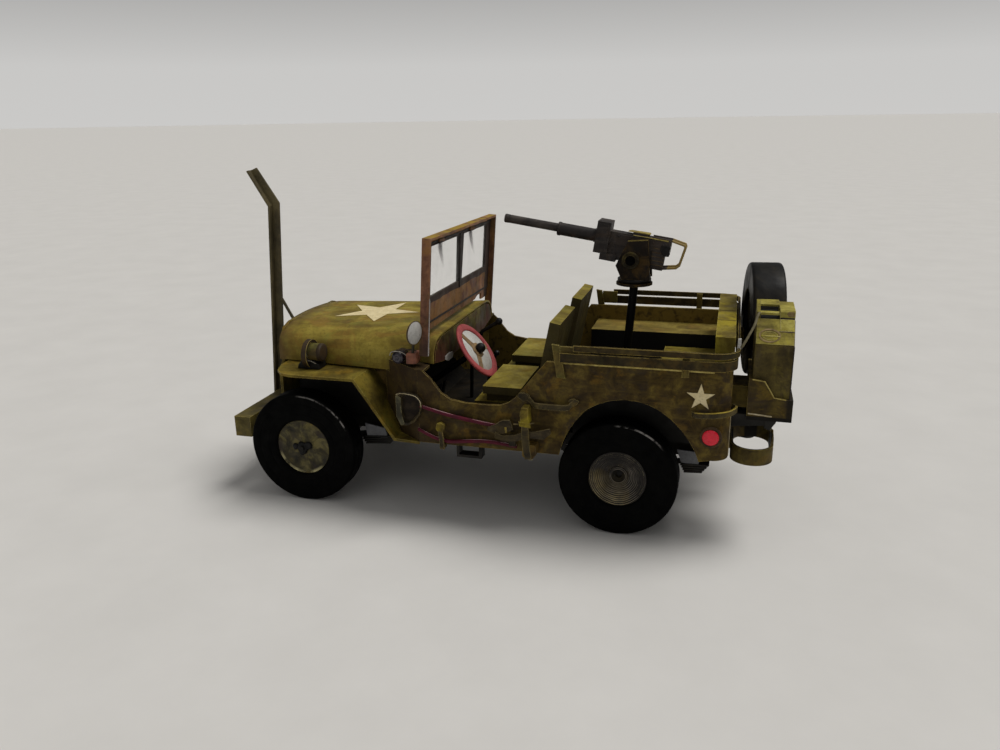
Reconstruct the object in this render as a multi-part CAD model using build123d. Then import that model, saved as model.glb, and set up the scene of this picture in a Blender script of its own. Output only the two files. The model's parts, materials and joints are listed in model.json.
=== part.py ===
# Hand-made card model, 1:24, of a small open 4x4 army utility car.
# Millimetres, +X to the nose, +Y to the car's left, +Z up.
# All coordinates below are written in the design frame: origin on the
# ground under the middle of the rear axle. At the end everything is moved
# by SHIFT so that the stored origin is the bottom centre of the whole model.
from build123d import *
import math
import os

os.makedirs("parts", exist_ok=True)

# ---------------------------------------------------------------- dimensions
SHIFT = (-35.472, -0.475, 0.0)    # design frame -> stored frame

CARD = 0.8                     # body card thickness
THIN = 0.7                     # fender and bonnet card thickness
STRIP = 0.6                    # narrow strips

WHEELBASE = 85.2
# tag, axle x, tyre radius, inner and outer tyre face y, rim radius
WHEELS = [("front", WHEELBASE, 15.4, 23.2, 29.7, 7.7),
          ("rear", 0.0, 14.8, 22.5, 29.0, 7.2)]
SPARE_RIM_R = 7.5
SPINDLE_R = 0.80
BORE_R = 0.86

BODY_HALF = 32.0               # outer half width of the tub
BODY_TOP = 44.9
BODY_REAR = -25.7
SILL_Z = 21.4
CORNER_R = 4.0

COWL_REAR = 47.4
COWL_FRONT = 55.0
HOOD_FRONT = 94.6

SCREEN_AT = (49.4, 0.0, 57.0)  # point on the front face of the windscreen
SCREEN_BACK = 3.8              # lean to the rear, degrees
SCREEN_ROLL = 0.7              # left side a little higher, degrees
SCREEN_HALF = 28.8

BUMPER_X0, BUMPER_X1 = 102.2, 107.1
BUMPER_HALF = 27.0
BUMPER_Z0, BUMPER_Z1 = 16.0, 21.8

FLOOR_Z = 22.4                 # underside of the front floor
REAR_FLOOR_Z = 26.2
BOX_TOP = 40.6                 # top of the wheel boxes
BOX_IN = 18.0                  # inner face of the wheel boxes

GUN_PIVOT = (1.4, 0.0, 64.6)
GUN_ELEV = 9.0                 # elevation in the rest pose, degrees
POST_TOP = (0.6, 0.0, 57.9)
POST_FOOT = (3.0, 0.0, REAR_FLOOR_Z + CARD)
POST_R = 1.1

NODES = {}


# ---------------------------------------------------------------- helpers
def box(x0, x1, y0, y1, z0, z1):
    b = Box(x1 - x0, y1 - y0, z1 - z0)
    return Pos((x0 + x1) / 2, (y0 + y1) / 2, (z0 + z1) / 2) * b


def face_of(points):
    return make_face(Polyline(*points, close=True))


def prism_y(xz, y0, y1):
    # polygon in the side view, extruded across the car
    f = face_of([(x, y0, z) for x, z in xz])
    return extrude(f, amount=y1 - y0, dir=(0, 1, 0))


def prism_x(yz, x0, x1):
    # polygon in the front view, extruded along the car
    f = face_of([(x0, y, z) for y, z in yz])
    return extrude(f, amount=x1 - x0, dir=(1, 0, 0))


def prism_z(xy, z0, z1):
    # polygon in plan, extruded upwards
    f = face_of([(x, y, z0) for x, y in xy])
    return extrude(f, amount=z1 - z0, dir=(0, 0, 1))


def rod(p, q, r):
    p, q = Vector(*p), Vector(*q)
    d = q - p
    return Plane(origin=p, z_dir=d) * Cylinder(
        r, d.length, align=(Align.CENTER, Align.CENTER, Align.MIN))


def cyl_y(x, z, r, y0, y1):
    return rod((x, y0, z), (x, y1, z), r)


def cyl_x(y, z, r, x0, x1):
    return rod((x0, y, z), (x1, y, z), r)


def cyl_z(x, y, r, z0, z1):
    return rod((x, y, z0), (x, y, z1), r)


def strip_xz(points, w, y0, y1):
    # folded strip: centre line in the side view, thickness w
    left, right = offset_line(points, w / 2)
    return prism_y(left + right[::-1], y0, y1)


def strip_xy(points, w, z0, z1):
    left, right = offset_line(points, w / 2)
    return prism_z(left + right[::-1], z0, z1)


def offset_line(points, h):
    left, right = [], []
    n = len(points)
    for i, (a, b) in enumerate(points):
        if i == 0:
            d = (points[1][0] - a, points[1][1] - b)
            k = 1.0
        elif i == n - 1:
            d = (a - points[-2][0], b - points[-2][1])
            k = 1.0
        else:
            u = unit(a - points[i - 1][0], b - points[i - 1][1])
            v = unit(points[i + 1][0] - a, points[i + 1][1] - b)
            d = (u[0] + v[0], u[1] + v[1])
            k = 1.0 / math.sqrt((1 + u[0] * v[0] + u[1] * v[1]) / 2)
        d = unit(*d)
        left.append((a - d[1] * h * k, b + d[0] * h * k))
        right.append((a + d[1] * h * k, b - d[0] * h * k))
    return left, right


def unit(x, y):
    r = math.hypot(x, y)
    return (x / r, y / r)


def other_side(s):
    return mirror(s, about=Plane.XZ)


def both(s):
    return [s, other_side(s)]


def join(items):
    out = items[0]
    for s in items[1:]:
        out = out + s
    return out


def put(name, *shapes):
    NODES[name] = shapes[0] if len(shapes) == 1 else join(list(shapes))


def lathe_y(profile, x, z):
    # profile of (radius, y) turned about the wheel axis at (x, z)
    f = face_of([(x + r, y, z) for r, y in profile])
    return revolve(f, axis=Axis((x, 0, z), (0, 1, 0)), revolution_arc=360)


# ---------------------------------------------------------------- wheels
# profiles of (radius, y): rolled-card tyre, slightly chamfered shoulders
def tyre_profile(r, y0, y1, rr):
    return [(rr, y0 + 0.9), (rr, y1 - 0.5), (rr + 1.5, y1), (r - 0.9, y1), (r, y1 - 0.7),
            (r, y0 + 0.7), (r - 0.9, y0), (rr + 1.5, y0)]


def rim_profile(tag, y0, y1, rr):
    if tag == "front":
        # flat disc with a small raised hub
        return [(BORE_R, y0 + 1.4), (rr, y0 + 1.4), (rr, y1 - 0.7), (2.6, y1 - 0.5),
                (2.2, y1 + 0.3), (BORE_R, y1 + 0.3)]
    # dished outer face that falls to a hollow hub
    return [(BORE_R, y0 + 1.4), (rr, y0 + 1.4), (rr, y1 - 0.7), (rr - 0.9, y1 - 0.8),
            (2.4, y1 - 3.2), (2.4, y1 - 2.6), (BORE_R, y1 - 2.6)]


for tag, x, r, y0, y1, rr in WHEELS:
    t = lathe_y(tyre_profile(r, y0, y1, rr), x, r)
    w = lathe_y(rim_profile(tag, y0, y1, rr), x, r)
    put("tyre_%s_left" % tag, t)
    put("tyre_%s_right" % tag, other_side(t))
    put("rim_%s_left" % tag, w)
    put("rim_%s_right" % tag, other_side(w))

# ---------------------------------------------------------------- axles
HUB_Y = 21.6                   # inner end of the spindle, at the knuckle
# tag, side the differential snout points to, spindle end behind the outer tyre face
AXLES = [("front", -1, 0.9), ("rear", 1, -4.2)]
knuckles = []
for (tag, x, z, y0, y1, rr), (same, nose, over) in zip(WHEELS, AXLES):
    tube = cyl_y(x, z, 1.3, -19.4, 19.4)
    diff = Pos(x, -6.0, z) * Sphere(3.7)
    snout = rod((x, -6.0, z), (x + nose * 6.0, -6.0, z + 0.6), 1.3)
    put("axle_%s" % tag, tube, diff, snout)
    knuckle = cyl_y(x, z, 2.6, 19.4, HUB_Y) + cyl_y(x, z, SPINDLE_R, HUB_Y, y1 + over)
    if tag == "front":
        # steering arm behind the knuckle
        knuckle = knuckle + box(x - 5.6, x - 1.8, 19.6, 20.4, z - 3.2, z + 0.1)
        # track rod between the two steering arms
        knuckle = knuckle + cyl_y(x - 5.0, z - 2.7, 0.55, 0.0, 20.2)
        knuckles = [knuckle + other_side(knuckle)]
    else:
        knuckles = knuckles + both(knuckle)
put("knuckles", Compound(children=knuckles))

# ---------------------------------------------------------------- frame
RAIL_Y0, RAIL_Y1 = 13.4, 15.4
RAIL_Z0, RAIL_Z1 = 17.4, 20.8
rails = both(box(-23.6, BUMPER_X0, RAIL_Y0, RAIL_Y1, RAIL_Z0, RAIL_Z1))
# crossmembers (x0, x1, z0, z1)
CROSS = [(-23.6, -21.6, 17.4, 20.8), (13.0, 15.0, 17.8, 20.8),
         (34.0, 37.0, 16.6, 18.4), (58.0, 60.0, 16.9, 18.4), (97.0, 99.4, 17.4, 20.8)]
cross = [box(a, b, -RAIL_Y0, RAIL_Y0, c, d) for a, b, c, d in CROSS]
put("frame_rails", *rails, *cross)

# leaf springs: flat packs that carry the axles, with end hangers
springs = []
for tag, x, z, y0, y1, rr in WHEELS:
    span = 16.2
    arc = [(x - span, 15.8), (x - span * 0.55, z - 0.7), (x, z - 2.1),
           (x + span * 0.55, z - 0.7), (x + span, 15.8)]
    s = strip_xz(arc, 0.8, RAIL_Y0 + 0.1, RAIL_Y1 - 0.1)
    h1 = box(x - span - 0.5, x - span + 0.7, RAIL_Y0 + 0.1, RAIL_Y1 - 0.1, 15.6, RAIL_Z0)
    h2 = box(x + span - 0.7, x + span + 0.5, RAIL_Y0 + 0.1, RAIL_Y1 - 0.1, 15.6, RAIL_Z0)
    springs = springs + both(s + h1 + h2)
put("leaf_springs", Compound(children=springs))

# ---------------------------------------------------------------- drive line
put("engine_block", box(68.0, 88.0, -7.6, 7.6, 19.4, 33.0)
    + prism_y([(69.0, 19.4), (72.0, 16.6), (79.0, 16.6), (80.6, 19.4)], -4.4, 4.4)
    + prism_y([(68.0, 19.4), (68.0, 27.6), (61.2, 26.4), (61.2, 22.2), (38.4, 22.2),
               (38.4, 18.5), (61.0, 18.5)], -3.4, 3.4)
    + box(38.4, 47.0, -9.6, -3.4, 14.4, 22.2))
put("drive_shafts", Compound(children=[
    rod((38.38, -6.0, 15.6), (6.3, -6.0, 15.4), 0.9),
    rod((47.02, -6.0, 15.6), (78.9, -6.0, 16.0), 0.9)]))
put("exhaust", box(44.0, 58.0, -27.0, -20.4, 16.8, 20.6)
    + rod((58.0, -23.8, 18.7), (66.0, -17.4, 18.7), 0.9)
    + rod((44.0, -23.8, 18.7), (18.8, -23.8, 18.7), 0.9))

# radiator core behind the grille
put("radiator", box(91.0, 93.6, -11.6, 11.6, 22.0, 43.6))

# ---------------------------------------------------------------- body panels
# outer side panel, side view: door cut, top edge, rear, wheel arch, sill
arch = [(13.9, SILL_Z), (11.3, 28.3), (7.7, 33.2)], [(7.7, 33.2), (-0.9, 36.7), (-9.0, 35.2)], \
       [(-9.0, 35.2), (-15.4, 29.8), (-19.2, 22.9)]
DOOR_CUT = [(50.0, 40.6), (48.6, 40.4), (46.8, 38.8), (45.3, 36.8), (43.8, 35.0), (41.4, 33.5),
            (37.6, 32.9), (32.9, 32.8), (28.6, 33.0), (26.4, 33.9), (24.6, 35.5),
            (22.1, 38.7), (19.0, 42.5), (17.0, BODY_TOP)]


def side_panel():
    y0, y1 = BODY_HALF - CARD, BODY_HALF
    x_end = BODY_REAR + CORNER_R
    pts = [(50.0, SILL_Z)] + DOOR_CUT + [(x_end, BODY_TOP), (x_end, 23.4), (-19.2, 22.9)]
    edges = [Line((a[0], y0, a[1]), (b[0], y0, b[1])) for a, b in zip(pts, pts[1:])]
    for p, q, r in (arch[2][::-1], arch[1][::-1], arch[0][::-1]):
        edges.append(ThreePointArc((p[0], y0, p[1]), (q[0], y0, q[1]), (r[0], y0, r[1])))
    edges.append(Line((13.9, y0, SILL_Z), (50.0, y0, SILL_Z)))
    main = extrude(make_face(Wire(edges)), amount=CARD, dir=(0, 1, 0))
    # rounded rear corner
    ring = cyl_z(x_end, BODY_HALF - CORNER_R, CORNER_R, 23.4, BODY_TOP) \
        - cyl_z(x_end, BODY_HALF - CORNER_R, CORNER_R - CARD, 23.0, 46.0)
    ring = ring & box(x_end - CORNER_R - 1, x_end, BODY_HALF - CORNER_R, BODY_HALF + 1, 23.4, BODY_TOP)
    # angled front part that runs in to the bonnet side
    taper = prism_z([(62.0, 23.6), (50.0, 32.0), (50.0, 31.02), (61.5, 22.97)], SILL_Z, 40.6)
    taper = taper - box(60.5, 63.0, 20.0, 26.0, 37.4, 41.0)
    ledge = prism_z([(60.5, 24.6), (50.0, 31.9), (48.3, 31.9), (48.3, 27.2), (55.0, 24.0), (60.5, 23.2)],
                    40.0, 40.6)
    return main + ring + taper + ledge


left = side_panel()
put("body_side_left", left)
put("body_side_right", other_side(left))

Y_IN = BODY_HALF - CARD
put("tail_panel", box(BODY_REAR, BODY_REAR + CARD, -(BODY_HALF - CORNER_R), BODY_HALF - CORNER_R,
                      23.4, BODY_TOP))

# floor: front footwell plate, riser and raised rear plate
put("floor",
    prism_z([(59.9, -22.6), (59.9, 22.6), (50.0, 30.0), (49.0, Y_IN), (14.6, Y_IN), (14.6, -Y_IN),
             (49.0, -Y_IN), (50.0, -30.0)], FLOOR_Z, FLOOR_Z + CARD)
    + box(13.8, 14.6, -Y_IN, Y_IN, FLOOR_Z, REAR_FLOOR_Z + CARD)
    + box(BODY_REAR + CARD, 13.8, -BOX_IN, BOX_IN, REAR_FLOOR_Z, REAR_FLOOR_Z + CARD))

# bulkhead between the engine bay and the footwell, with a sloped toe board
put("bulkhead",
    prism_x([(-22.3, FLOOR_Z), (22.3, FLOOR_Z), (22.3, 37.6), (21.3, 42.3), (19.1, 45.2),
             (-19.1, 45.2), (-21.3, 42.3), (-22.3, 37.6)], 59.9, 60.7)
    + prism_y([(59.9, 29.0), (59.9, 28.0), (55.4, FLOOR_Z + CARD), (54.4, FLOOR_Z + CARD)], -22.0, 22.0))

for sgn in (1,):
    top = box(BODY_REAR + CARD, 14.6, BOX_IN, Y_IN, BOX_TOP - CARD, BOX_TOP)
    wall = box(BODY_REAR + CARD, 14.6, BOX_IN, BOX_IN + CARD, 22.0, BOX_TOP)
    front = box(13.8, 14.6, BOX_IN, Y_IN, REAR_FLOOR_Z + CARD, BOX_TOP)
    wall = wall - box(13.0, 15.0, BOX_IN - 1, BOX_IN + 2, 21.0, REAR_FLOOR_Z + CARD)
    s = (top + wall + front)
    # the corner of the body is round there, so the box top is cut to it
    s = s & (box(BODY_REAR + CORNER_R, 20, 0, Y_IN, 0, 60)
             + (cyl_z(BODY_REAR + CORNER_R, BODY_HALF - CORNER_R, CORNER_R - CARD, 0, 60)
                & box(-40, BODY_REAR + CORNER_R, BODY_HALF - CORNER_R, 40, 0, 60))
             + box(BODY_REAR + CARD, BODY_REAR + CORNER_R, 0, BODY_HALF - CORNER_R, 0, 60))
    put("wheel_boxes", Compound(children=both(s)))

# ---------------------------------------------------------------- bonnet, cowl
# section of the bonnet and cowl: (half width, height) from the middle out
SEC_FRONT = [(13.4, 46.5), (16.8, 45.4), (18.2, 43.2), (18.6, 37.3)]
SEC_MID = [(15.6, 47.5), (20.6, 46.2), (23.2, 42.8), (24.4, 37.6)]
SEC_REAR = [(20.5, 47.2), (24.6, 46.0), (26.3, 43.6), (26.9, 40.7)]


def shell_section(x, sec, t):
    outer = [(y, z) for y, z in sec]
    inner = [(outer[0][0] - t * 0.3, outer[0][1] - t), (outer[1][0] - t * 0.7, outer[1][1] - t * 0.8),
             (outer[2][0] - t * 0.95, outer[2][1] - t * 0.4), (outer[3][0] - t, outer[3][1])]
    loop = [(-y, z) for y, z in outer[::-1]] + outer + inner[::-1] + [(-y, z) for y, z in inner]
    return make_face(Polyline(*[(x, y, z) for y, z in loop], close=True))


put("bonnet", loft([shell_section(HOOD_FRONT, SEC_FRONT, THIN), shell_section(COWL_FRONT, SEC_MID, THIN)],
                   ruled=True))
# the cowl stands on the bulkhead line and ends at the dashboard
SEC_COWL = [SEC_MID[0], SEC_MID[1], SEC_MID[2], (24.3, 40.7)]
put("cowl", loft([shell_section(COWL_FRONT, SEC_COWL, THIN), shell_section(COWL_REAR, SEC_REAR, THIN)],
                 ruled=True))

put("dashboard", prism_x([(-25.7, 40.7), (-18.0, 39.2), (18.0, 39.2), (25.7, 40.7), (25.05, 43.1), (23.5, 45.25),
                          (19.7, 46.4), (-19.7, 46.4), (-23.5, 45.25), (-25.05, 43.1)],
                         COWL_REAR, COWL_REAR + CARD))

# ---------------------------------------------------------------- grille
GRILLE_X0, GRILLE_X1 = HOOD_FRONT, HOOD_FRONT + 0.8
SLOT_W, SLOT_PITCH, SLOT_N = 1.4, 2.55, 9
LAMP_Y, LAMP_Z, LAMP_R = 14.6, 38.4, 2.9
g = prism_x([(-20.6, 21.6), (20.6, 21.6), (20.6, 33.6), (18.6, 36.4), (18.6, 37.3), (18.2, 43.2), (16.8, 45.4), (13.4, 46.5),
             (-13.4, 46.5), (-16.8, 45.4), (-18.2, 43.2), (-18.6, 37.3), (-18.6, 36.4), (-20.6, 33.6)], GRILLE_X0, GRILLE_X1)
for i in range(SLOT_N):
    y = (i - (SLOT_N - 1) / 2) * SLOT_PITCH
    g = g - box(GRILLE_X0 - 1, GRILLE_X1 + 1, y - SLOT_W / 2, y + SLOT_W / 2, 26.4, 41.0)
for s in (1, -1):
    g = g - cyl_x(s * LAMP_Y, LAMP_Z, LAMP_R, GRILLE_X0 - 1, GRILLE_X1 + 1)
put("grille", g)
head = cyl_x(LAMP_Y, LAMP_Z, LAMP_R - 0.1, GRILLE_X0 - 2.4, GRILLE_X1 + 0.2)
mark = cyl_x(LAMP_Y, 31.8, 1.2, GRILLE_X1, GRILLE_X1 + 0.9)
put("grille_lamps", Compound(children=both(head) + both(mark)))

# ---------------------------------------------------------------- fenders
FENDER_TOP = 36.9
fender_line = [(93.5, FENDER_TOP - THIN / 2), (67.6, FENDER_TOP - THIN / 2), (57.0, 21.4), (47.8, 21.0)]
band = strip_xz(fender_line, THIN, 15.5, BODY_HALF)
plan = prism_z([(92.0, 15.5), (92.0, 17.7), (92.8, 17.7), (92.5, 24.0), (91.0, 28.6), (88.8, 31.0), (85.8, 32.0), (50.05, 32.0),
                (62.05, 23.62), (62.05, 15.5)], 15.0, 40.0)
# vertical apron that closes the engine bay over the frame rail
apron = box(62.05, 92.0, RAIL_Y1 + 0.1, RAIL_Y1 + 0.7, RAIL_Z1, FENDER_TOP - THIN)
fen = (band & plan)
apron = apron & prism_y([(62.05, 20.8), (93.6, 20.8), (93.6, FENDER_TOP - THIN),
                         (68.2, FENDER_TOP - THIN), (62.05, 27.9)], 10.0, 20.0)
fen = fen + apron
put("fender_left", fen)
put("fender_right", other_side(fen))

# ---------------------------------------------------------------- bumper, wire cutter
put("front_bumper", box(BUMPER_X0, BUMPER_X1, -BUMPER_HALF, BUMPER_HALF, BUMPER_Z0, BUMPER_Z1))

LEAN = math.atan(0.072)
POST_Y0, POST_Y1 = 1.2, 3.5


def cutter():
    # side view corners of the upright and of the forward top piece
    z0, z1, z2 = 16.4, 76.9, 86.6
    xf0 = 108.7
    xf1 = xf0 - (z1 - z0) * math.tan(LEAN)
    xf2 = xf1 + 5.8
    w = 2.65
    web_low = [(xf0, z0), (xf1, z1), (xf1 - w, z1 + 0.9), (xf0 - w, z0)]
    web_top = [(xf1, z1), (xf2, z2), (xf2 - 2.2, z2 + 0.9), (xf1 - w, z1 + 0.9)]
    web = prism_y(web_low, POST_Y0, POST_Y0 + STRIP) + prism_y(web_top, POST_Y0, POST_Y0 + STRIP)
    leg_low = [(xf0, z0), (xf1, z1), (xf1 - STRIP, z1 + 0.2), (xf0 - STRIP, z0)]
    leg_top = [(xf1, z1), (xf2, z2), (xf2 - STRIP * 0.86, z2 + 0.25), (xf1 - STRIP, z1 + 0.2)]
    leg = prism_y(leg_low, POST_Y0, POST_Y1) + prism_y(leg_top, POST_Y0, POST_Y1)
    s = web + leg
    return s - box(BUMPER_X0, BUMPER_X1, -10, 10, BUMPER_Z0 - 1, BUMPER_Z1)


brace = rod((104.1, POST_Y0 + 0.35, 50.4), (GRILLE_X1 + 0.4, POST_Y0 + 0.1, 34.7), 0.45)
put("wire_cutter", cutter() + brace)

# ---------------------------------------------------------------- windscreen
# local frame: x = 0 on the front face, z = 0 at SCREEN_AT
PLATE_LOW, PLATE_TOP = -6.9, 15.45
LEG_LOW = -14.0
OPEN_LOW, OPEN_TOP, OPEN_HALF = 0.1, 12.85, 23.8
DIV_LOW, DIV_TOP = 0.45, 0.85         # half width of the divider, bottom and top
PLATE_T, FLANGE = 0.7, 2.2


def screen_place(s):
    return Pos(*SCREEN_AT) * Rot(SCREEN_ROLL, -SCREEN_BACK, 0) * s


def opening(x0, x1):
    return prism_x([(DIV_LOW, OPEN_LOW), (OPEN_HALF, OPEN_LOW), (OPEN_HALF, OPEN_TOP), (DIV_TOP, OPEN_TOP)], x0, x1)


plate = box(-PLATE_T, 0.0, -SCREEN_HALF, SCREEN_HALF, PLATE_LOW, PLATE_TOP) \
    - opening(-PLATE_T - 1, 1) - other_side(opening(-PLATE_T - 1, 1))
top_flange = box(-FLANGE, -PLATE_T, -SCREEN_HALF, SCREEN_HALF, PLATE_TOP - 0.6, PLATE_TOP)
leg = box(-FLANGE, 0.0, SCREEN_HALF - 0.6, SCREEN_HALF, LEG_LOW, PLATE_TOP)
pad = box(-1.9, -0.3, 26.4, SCREEN_HALF - 0.6, LEG_LOW + 0.2, LEG_LOW + 1.6)
put("windscreen_frame", screen_place(join([plate, top_flange] + both(leg) + both(pad))))
panes = both(opening(-0.5, -0.2))
put("windscreen_glass", Compound(children=[screen_place(p) for p in panes]))
# ---------------------------------------------------------------- mirror
bar = box(47.6, 58.4, 29.0, 29.5, 43.6, 44.4)
boss = cyl_y(56.6, 42.6, 1.6, 25.3, 29.8)
block = box(50.8, 53.2, 27.0, 30.4, 40.6, 44.0)
stem = rod((51.7, 29.2, 43.8), (51.3, 29.6, 46.8), 0.45)
MIRROR_R = 3.05
MIRROR_TURN = math.radians(16)
mn = Vector(-math.cos(MIRROR_TURN), math.sin(MIRROR_TURN), 0.08)
mc = Vector(51.2, 29.7, 49.4)
put("side_mirror", bar, boss, block, stem, Plane(origin=mc, z_dir=mn) * Cylinder(MIRROR_R, 0.7))

# ---------------------------------------------------------------- lamp on the left fender
lamp_drum = cyl_x(24.4, 41.2, 2.4, 79.1, 83.2)
lamp_base = box(80.0, 86.0, 22.2, 26.6, FENDER_TOP, 39.2)
lamp_ring = cyl_x(24.4, 40.7, 3.9, 83.2, 84.0) - cyl_x(24.4, 40.7, 3.2, 83.0, 86.0)
lamp_ring = lamp_ring & box(80, 90, 15, 35, FENDER_TOP, 50)
put("drive_lamp", (lamp_drum - box(70, 90, 15, 35, 30, 39.2)), lamp_base, lamp_ring)

# ---------------------------------------------------------------- cabin
TILT = math.radians(36.3)
SW_C = Vector(40.4, 11.5, 40.75)
SW_N = Vector(-math.cos(TILT), 0, math.sin(TILT))
SW_R = 7.9
sw_plane = Plane(origin=SW_C, x_dir=(0, 1, 0), z_dir=SW_N)
# printed card disc with the rim ring glued on
col_a = SW_C - SW_N * 0.3
col_b = SW_C - SW_N * 17.0
put("steering_wheel", sw_plane * Cylinder(SW_R, 0.6), sw_plane * (Pos(0, 0, 1.1) * Sphere(1.3)),
    rod((col_a.X, col_a.Y, col_a.Z), (col_b.X, col_b.Y, col_b.Z), 0.8))

# levers on the gearbox hump, each a bent rod with a round knob
def lever(points, r, knob):
    s = rod(points[0], points[1], r)
    for a, b in zip(points[1:], points[2:]):
        s = s + rod(a, b, r) + Pos(*a) * Sphere(r)
    return s + Pos(*points[-1]) * Sphere(knob)


LEVERS = [
    lever([(46.0, 0.4, FLOOR_Z + CARD), (45.6, 0.4, 36.0), (42.4, 0.2, 43.0), (37.6, 0.0, 46.0)], 0.5, 1.0),
    lever([(42.4, -3.0, FLOOR_Z + CARD + 0.1), (41.4, -3.0, 31.0), (39.3, -3.0, 35.9)], 0.4, 0.8),
    lever([(33.0, -2.2, FLOOR_Z + CARD + 0.15), (34.4, -2.2, 30.5)], 0.4, 0.7)]
PEDALS = [(15.8, 2.2), (11.0, 2.2), (6.6, 1.6)]   # y centre, width
pedals = [prism_y([(53.0, FLOOR_Z + CARD), (53.6, FLOOR_Z + CARD), (52.0, 30.0), (51.4, 30.0)], y - w / 2, y + w / 2)
          for y, w in PEDALS]
put("controls", Compound(children=LEVERS + pedals))

# seats: cushion, open base box and a leaning back with folded edge flanges
SEAT_Y = 14.6
SEAT_HALF = 9.9
CUSH = (25.2, 35.2, 33.1, 35.1)        # x0, x1, z0, z1
for tag, sgn in (("driver", 1), ("passenger", -1)):
    y0, y1 = SEAT_Y - SEAT_HALF, SEAT_Y + SEAT_HALF
    if sgn < 0:
        y0, y1 = -y1, -y0
    cush = box(CUSH[0], CUSH[1], y0, y1, CUSH[2], CUSH[3])
    base = box(CUSH[0] + 0.4, CUSH[1] + 2.4, y0 + 0.4, y1 - 0.4, FLOOR_Z + CARD, 30.9) \
        - box(CUSH[0] + 1.2, CUSH[1] + 1.6, y0 + 1.2, y1 - 1.2, FLOOR_Z, 30.1)
    pad = box(CUSH[0] + 1.0, CUSH[1] - 0.6, y0 + 1.4, y1 - 1.4, 30.9, CUSH[2])
    back_xz = [(20.9, 38.0), (17.9, 52.6), (15.3, 52.1), (18.3, 37.4)]
    b = prism_y(back_xz, y0, y1)
    # legs that carry the back down to the floor
    leg_xz = [(20.9, 38.0), (18.3, 37.4), (19.6, 31.2), (18.6, FLOOR_Z + CARD),
              (21.0, FLOOR_Z + CARD), (22.2, 31.6)]
    l1 = prism_y(leg_xz, y0, y0 + 1.0)
    l2 = prism_y(leg_xz, y1 - 1.0, y1)
    low = prism_y([(20.9, 38.0), (18.3, 37.4), (18.9, 34.5), (21.5, 35.1)], y0, y1)
    put("seat_%s" % tag, cush, pad, base, b, l1, l2, low)

# rear bench and its back rest
rear_cush = (box(-21.0, -7.0, -16.6, 16.6, 34.6, 37.0)
             + box(-20.6, -9.4, -15.4, 15.4, REAR_FLOOR_Z + CARD, 34.6))
rear_back = prism_y([(-24.9, BOX_TOP), (-21.4, BOX_TOP), (-21.2, 51.2), (-25.7, 51.2),
                     (-25.7, BODY_TOP), (-24.9, BODY_TOP)], -24.6, 24.6)
put("rear_seat", Compound(children=[rear_cush, rear_back]))

# ---------------------------------------------------------------- stowed top bows
BOW_Y = 33.1
# upper edge height, lower edge height, front end x, rear x, corner radius
BOWS = [(49.5, 48.1, 10.4, -26.55, 5.0), (47.6, 45.3, 13.6, -26.25, 4.8)]


def bow(z1, z0, xf, xr, r):
    w = STRIP
    outer = box(xr - w / 2, xf, -BOW_Y - w / 2, BOW_Y + w / 2, z0, z1)
    outer = fillet(outer.edges().filter_by(Axis.Z).sort_by(Axis.X)[:2], r + w / 2)
    inner = box(xr + w / 2, xf + 1, -BOW_Y + w / 2, BOW_Y - w / 2, z0 - 1, z1 + 1)
    inner = fillet(inner.edges().filter_by(Axis.Z).sort_by(Axis.X)[:2], r - w / 2)
    return outer - inner


# socket on each side that holds the bow ends, and the tie behind it
sock = prism_y([(15.6, 49.4), (13.9, 49.2), (12.3, 41.2), (14.4, 41.4)], BODY_HALF, BODY_HALF + 0.75)
sock2 = box(9.2, 13.6, BODY_HALF + 0.1, BODY_HALF + 0.75, 45.8, 49.0)
tie = box(-16.0, -14.4, BODY_HALF, BODY_HALF + 0.75, 43.4, 49.3)
put("top_bows", Compound(children=[bow(*b) for b in BOWS]))
put("bow_sockets", Compound(children=both(sock + sock2) + both(tie)))

# ---------------------------------------------------------------- rear end
SP_C = Vector(-32.4, -9.6, 48.0)
SP_YAW = 5.0
SP_R, SP_W = 14.9, 8.2


def spare(profile):
    # (radius, x) turned about the X axis, then turned a little and moved to the tail
    f = make_face(Polyline(*[(a, r, 0) for r, a in profile], close=True))
    s = revolve(f, axis=Axis.X, revolution_arc=360)
    return Pos(SP_C.X, SP_C.Y, SP_C.Z) * Rot(0, 0, SP_YAW) * s


h = SP_W / 2
put("spare_tyre", spare([(SPARE_RIM_R, -h + 0.6), (SPARE_RIM_R, h - 0.6), (9.0, h), (SP_R - 0.6, h), (SP_R, h - 0.5),
                         (SP_R, -h + 0.5), (SP_R + 0.25, -h + 0.2), (SP_R - 0.4, -h), (9.0, -h)]))
put("spare_rim", spare([(0.0, -h + 1.6), (SPARE_RIM_R, -h + 1.0), (SPARE_RIM_R, h - 1.0), (2.5, h - 1.6), (0.0, h - 1.6)]))
spare_mount = box(-28.0, BODY_REAR, -12.2, -7.0, 41.2, 44.8)

CAN = dict(x0=-38.5, x1=-29.9, y0=11.2, y1=26.0, z0=33.2)
can = prism_x([(CAN["y0"], CAN["z0"]), (CAN["y1"], CAN["z0"]), (CAN["y1"], 49.6), (21.4, 55.2), (CAN["y0"], 55.2)],
              CAN["x0"], CAN["x1"])
can = can + box(CAN["x0"], CAN["x0"] + 2.8, CAN["y0"] + 0.4, 21.0, 55.2, 58.6)
for y in (11.6, 15.6, 19.6):
    can = can + box(CAN["x0"] + 2.8, CAN["x1"], y, y + 1.4, 56.4, 57.8)
can = can + box(CAN["x1"] - 0.8, CAN["x1"], 11.6, 21.0, 55.2, 57.8)
put("fuel_can", can)
# open tray of card strips with a back plate on the tail
tray = box(-39.2, -29.2, 10.4, 26.8, 32.4, 33.2)
tray = tray + box(-39.2, -38.5, 10.4, 26.8, 33.2, 37.7) + box(-29.9, -29.2, 10.4, 26.8, 33.2, 42.4)
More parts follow.
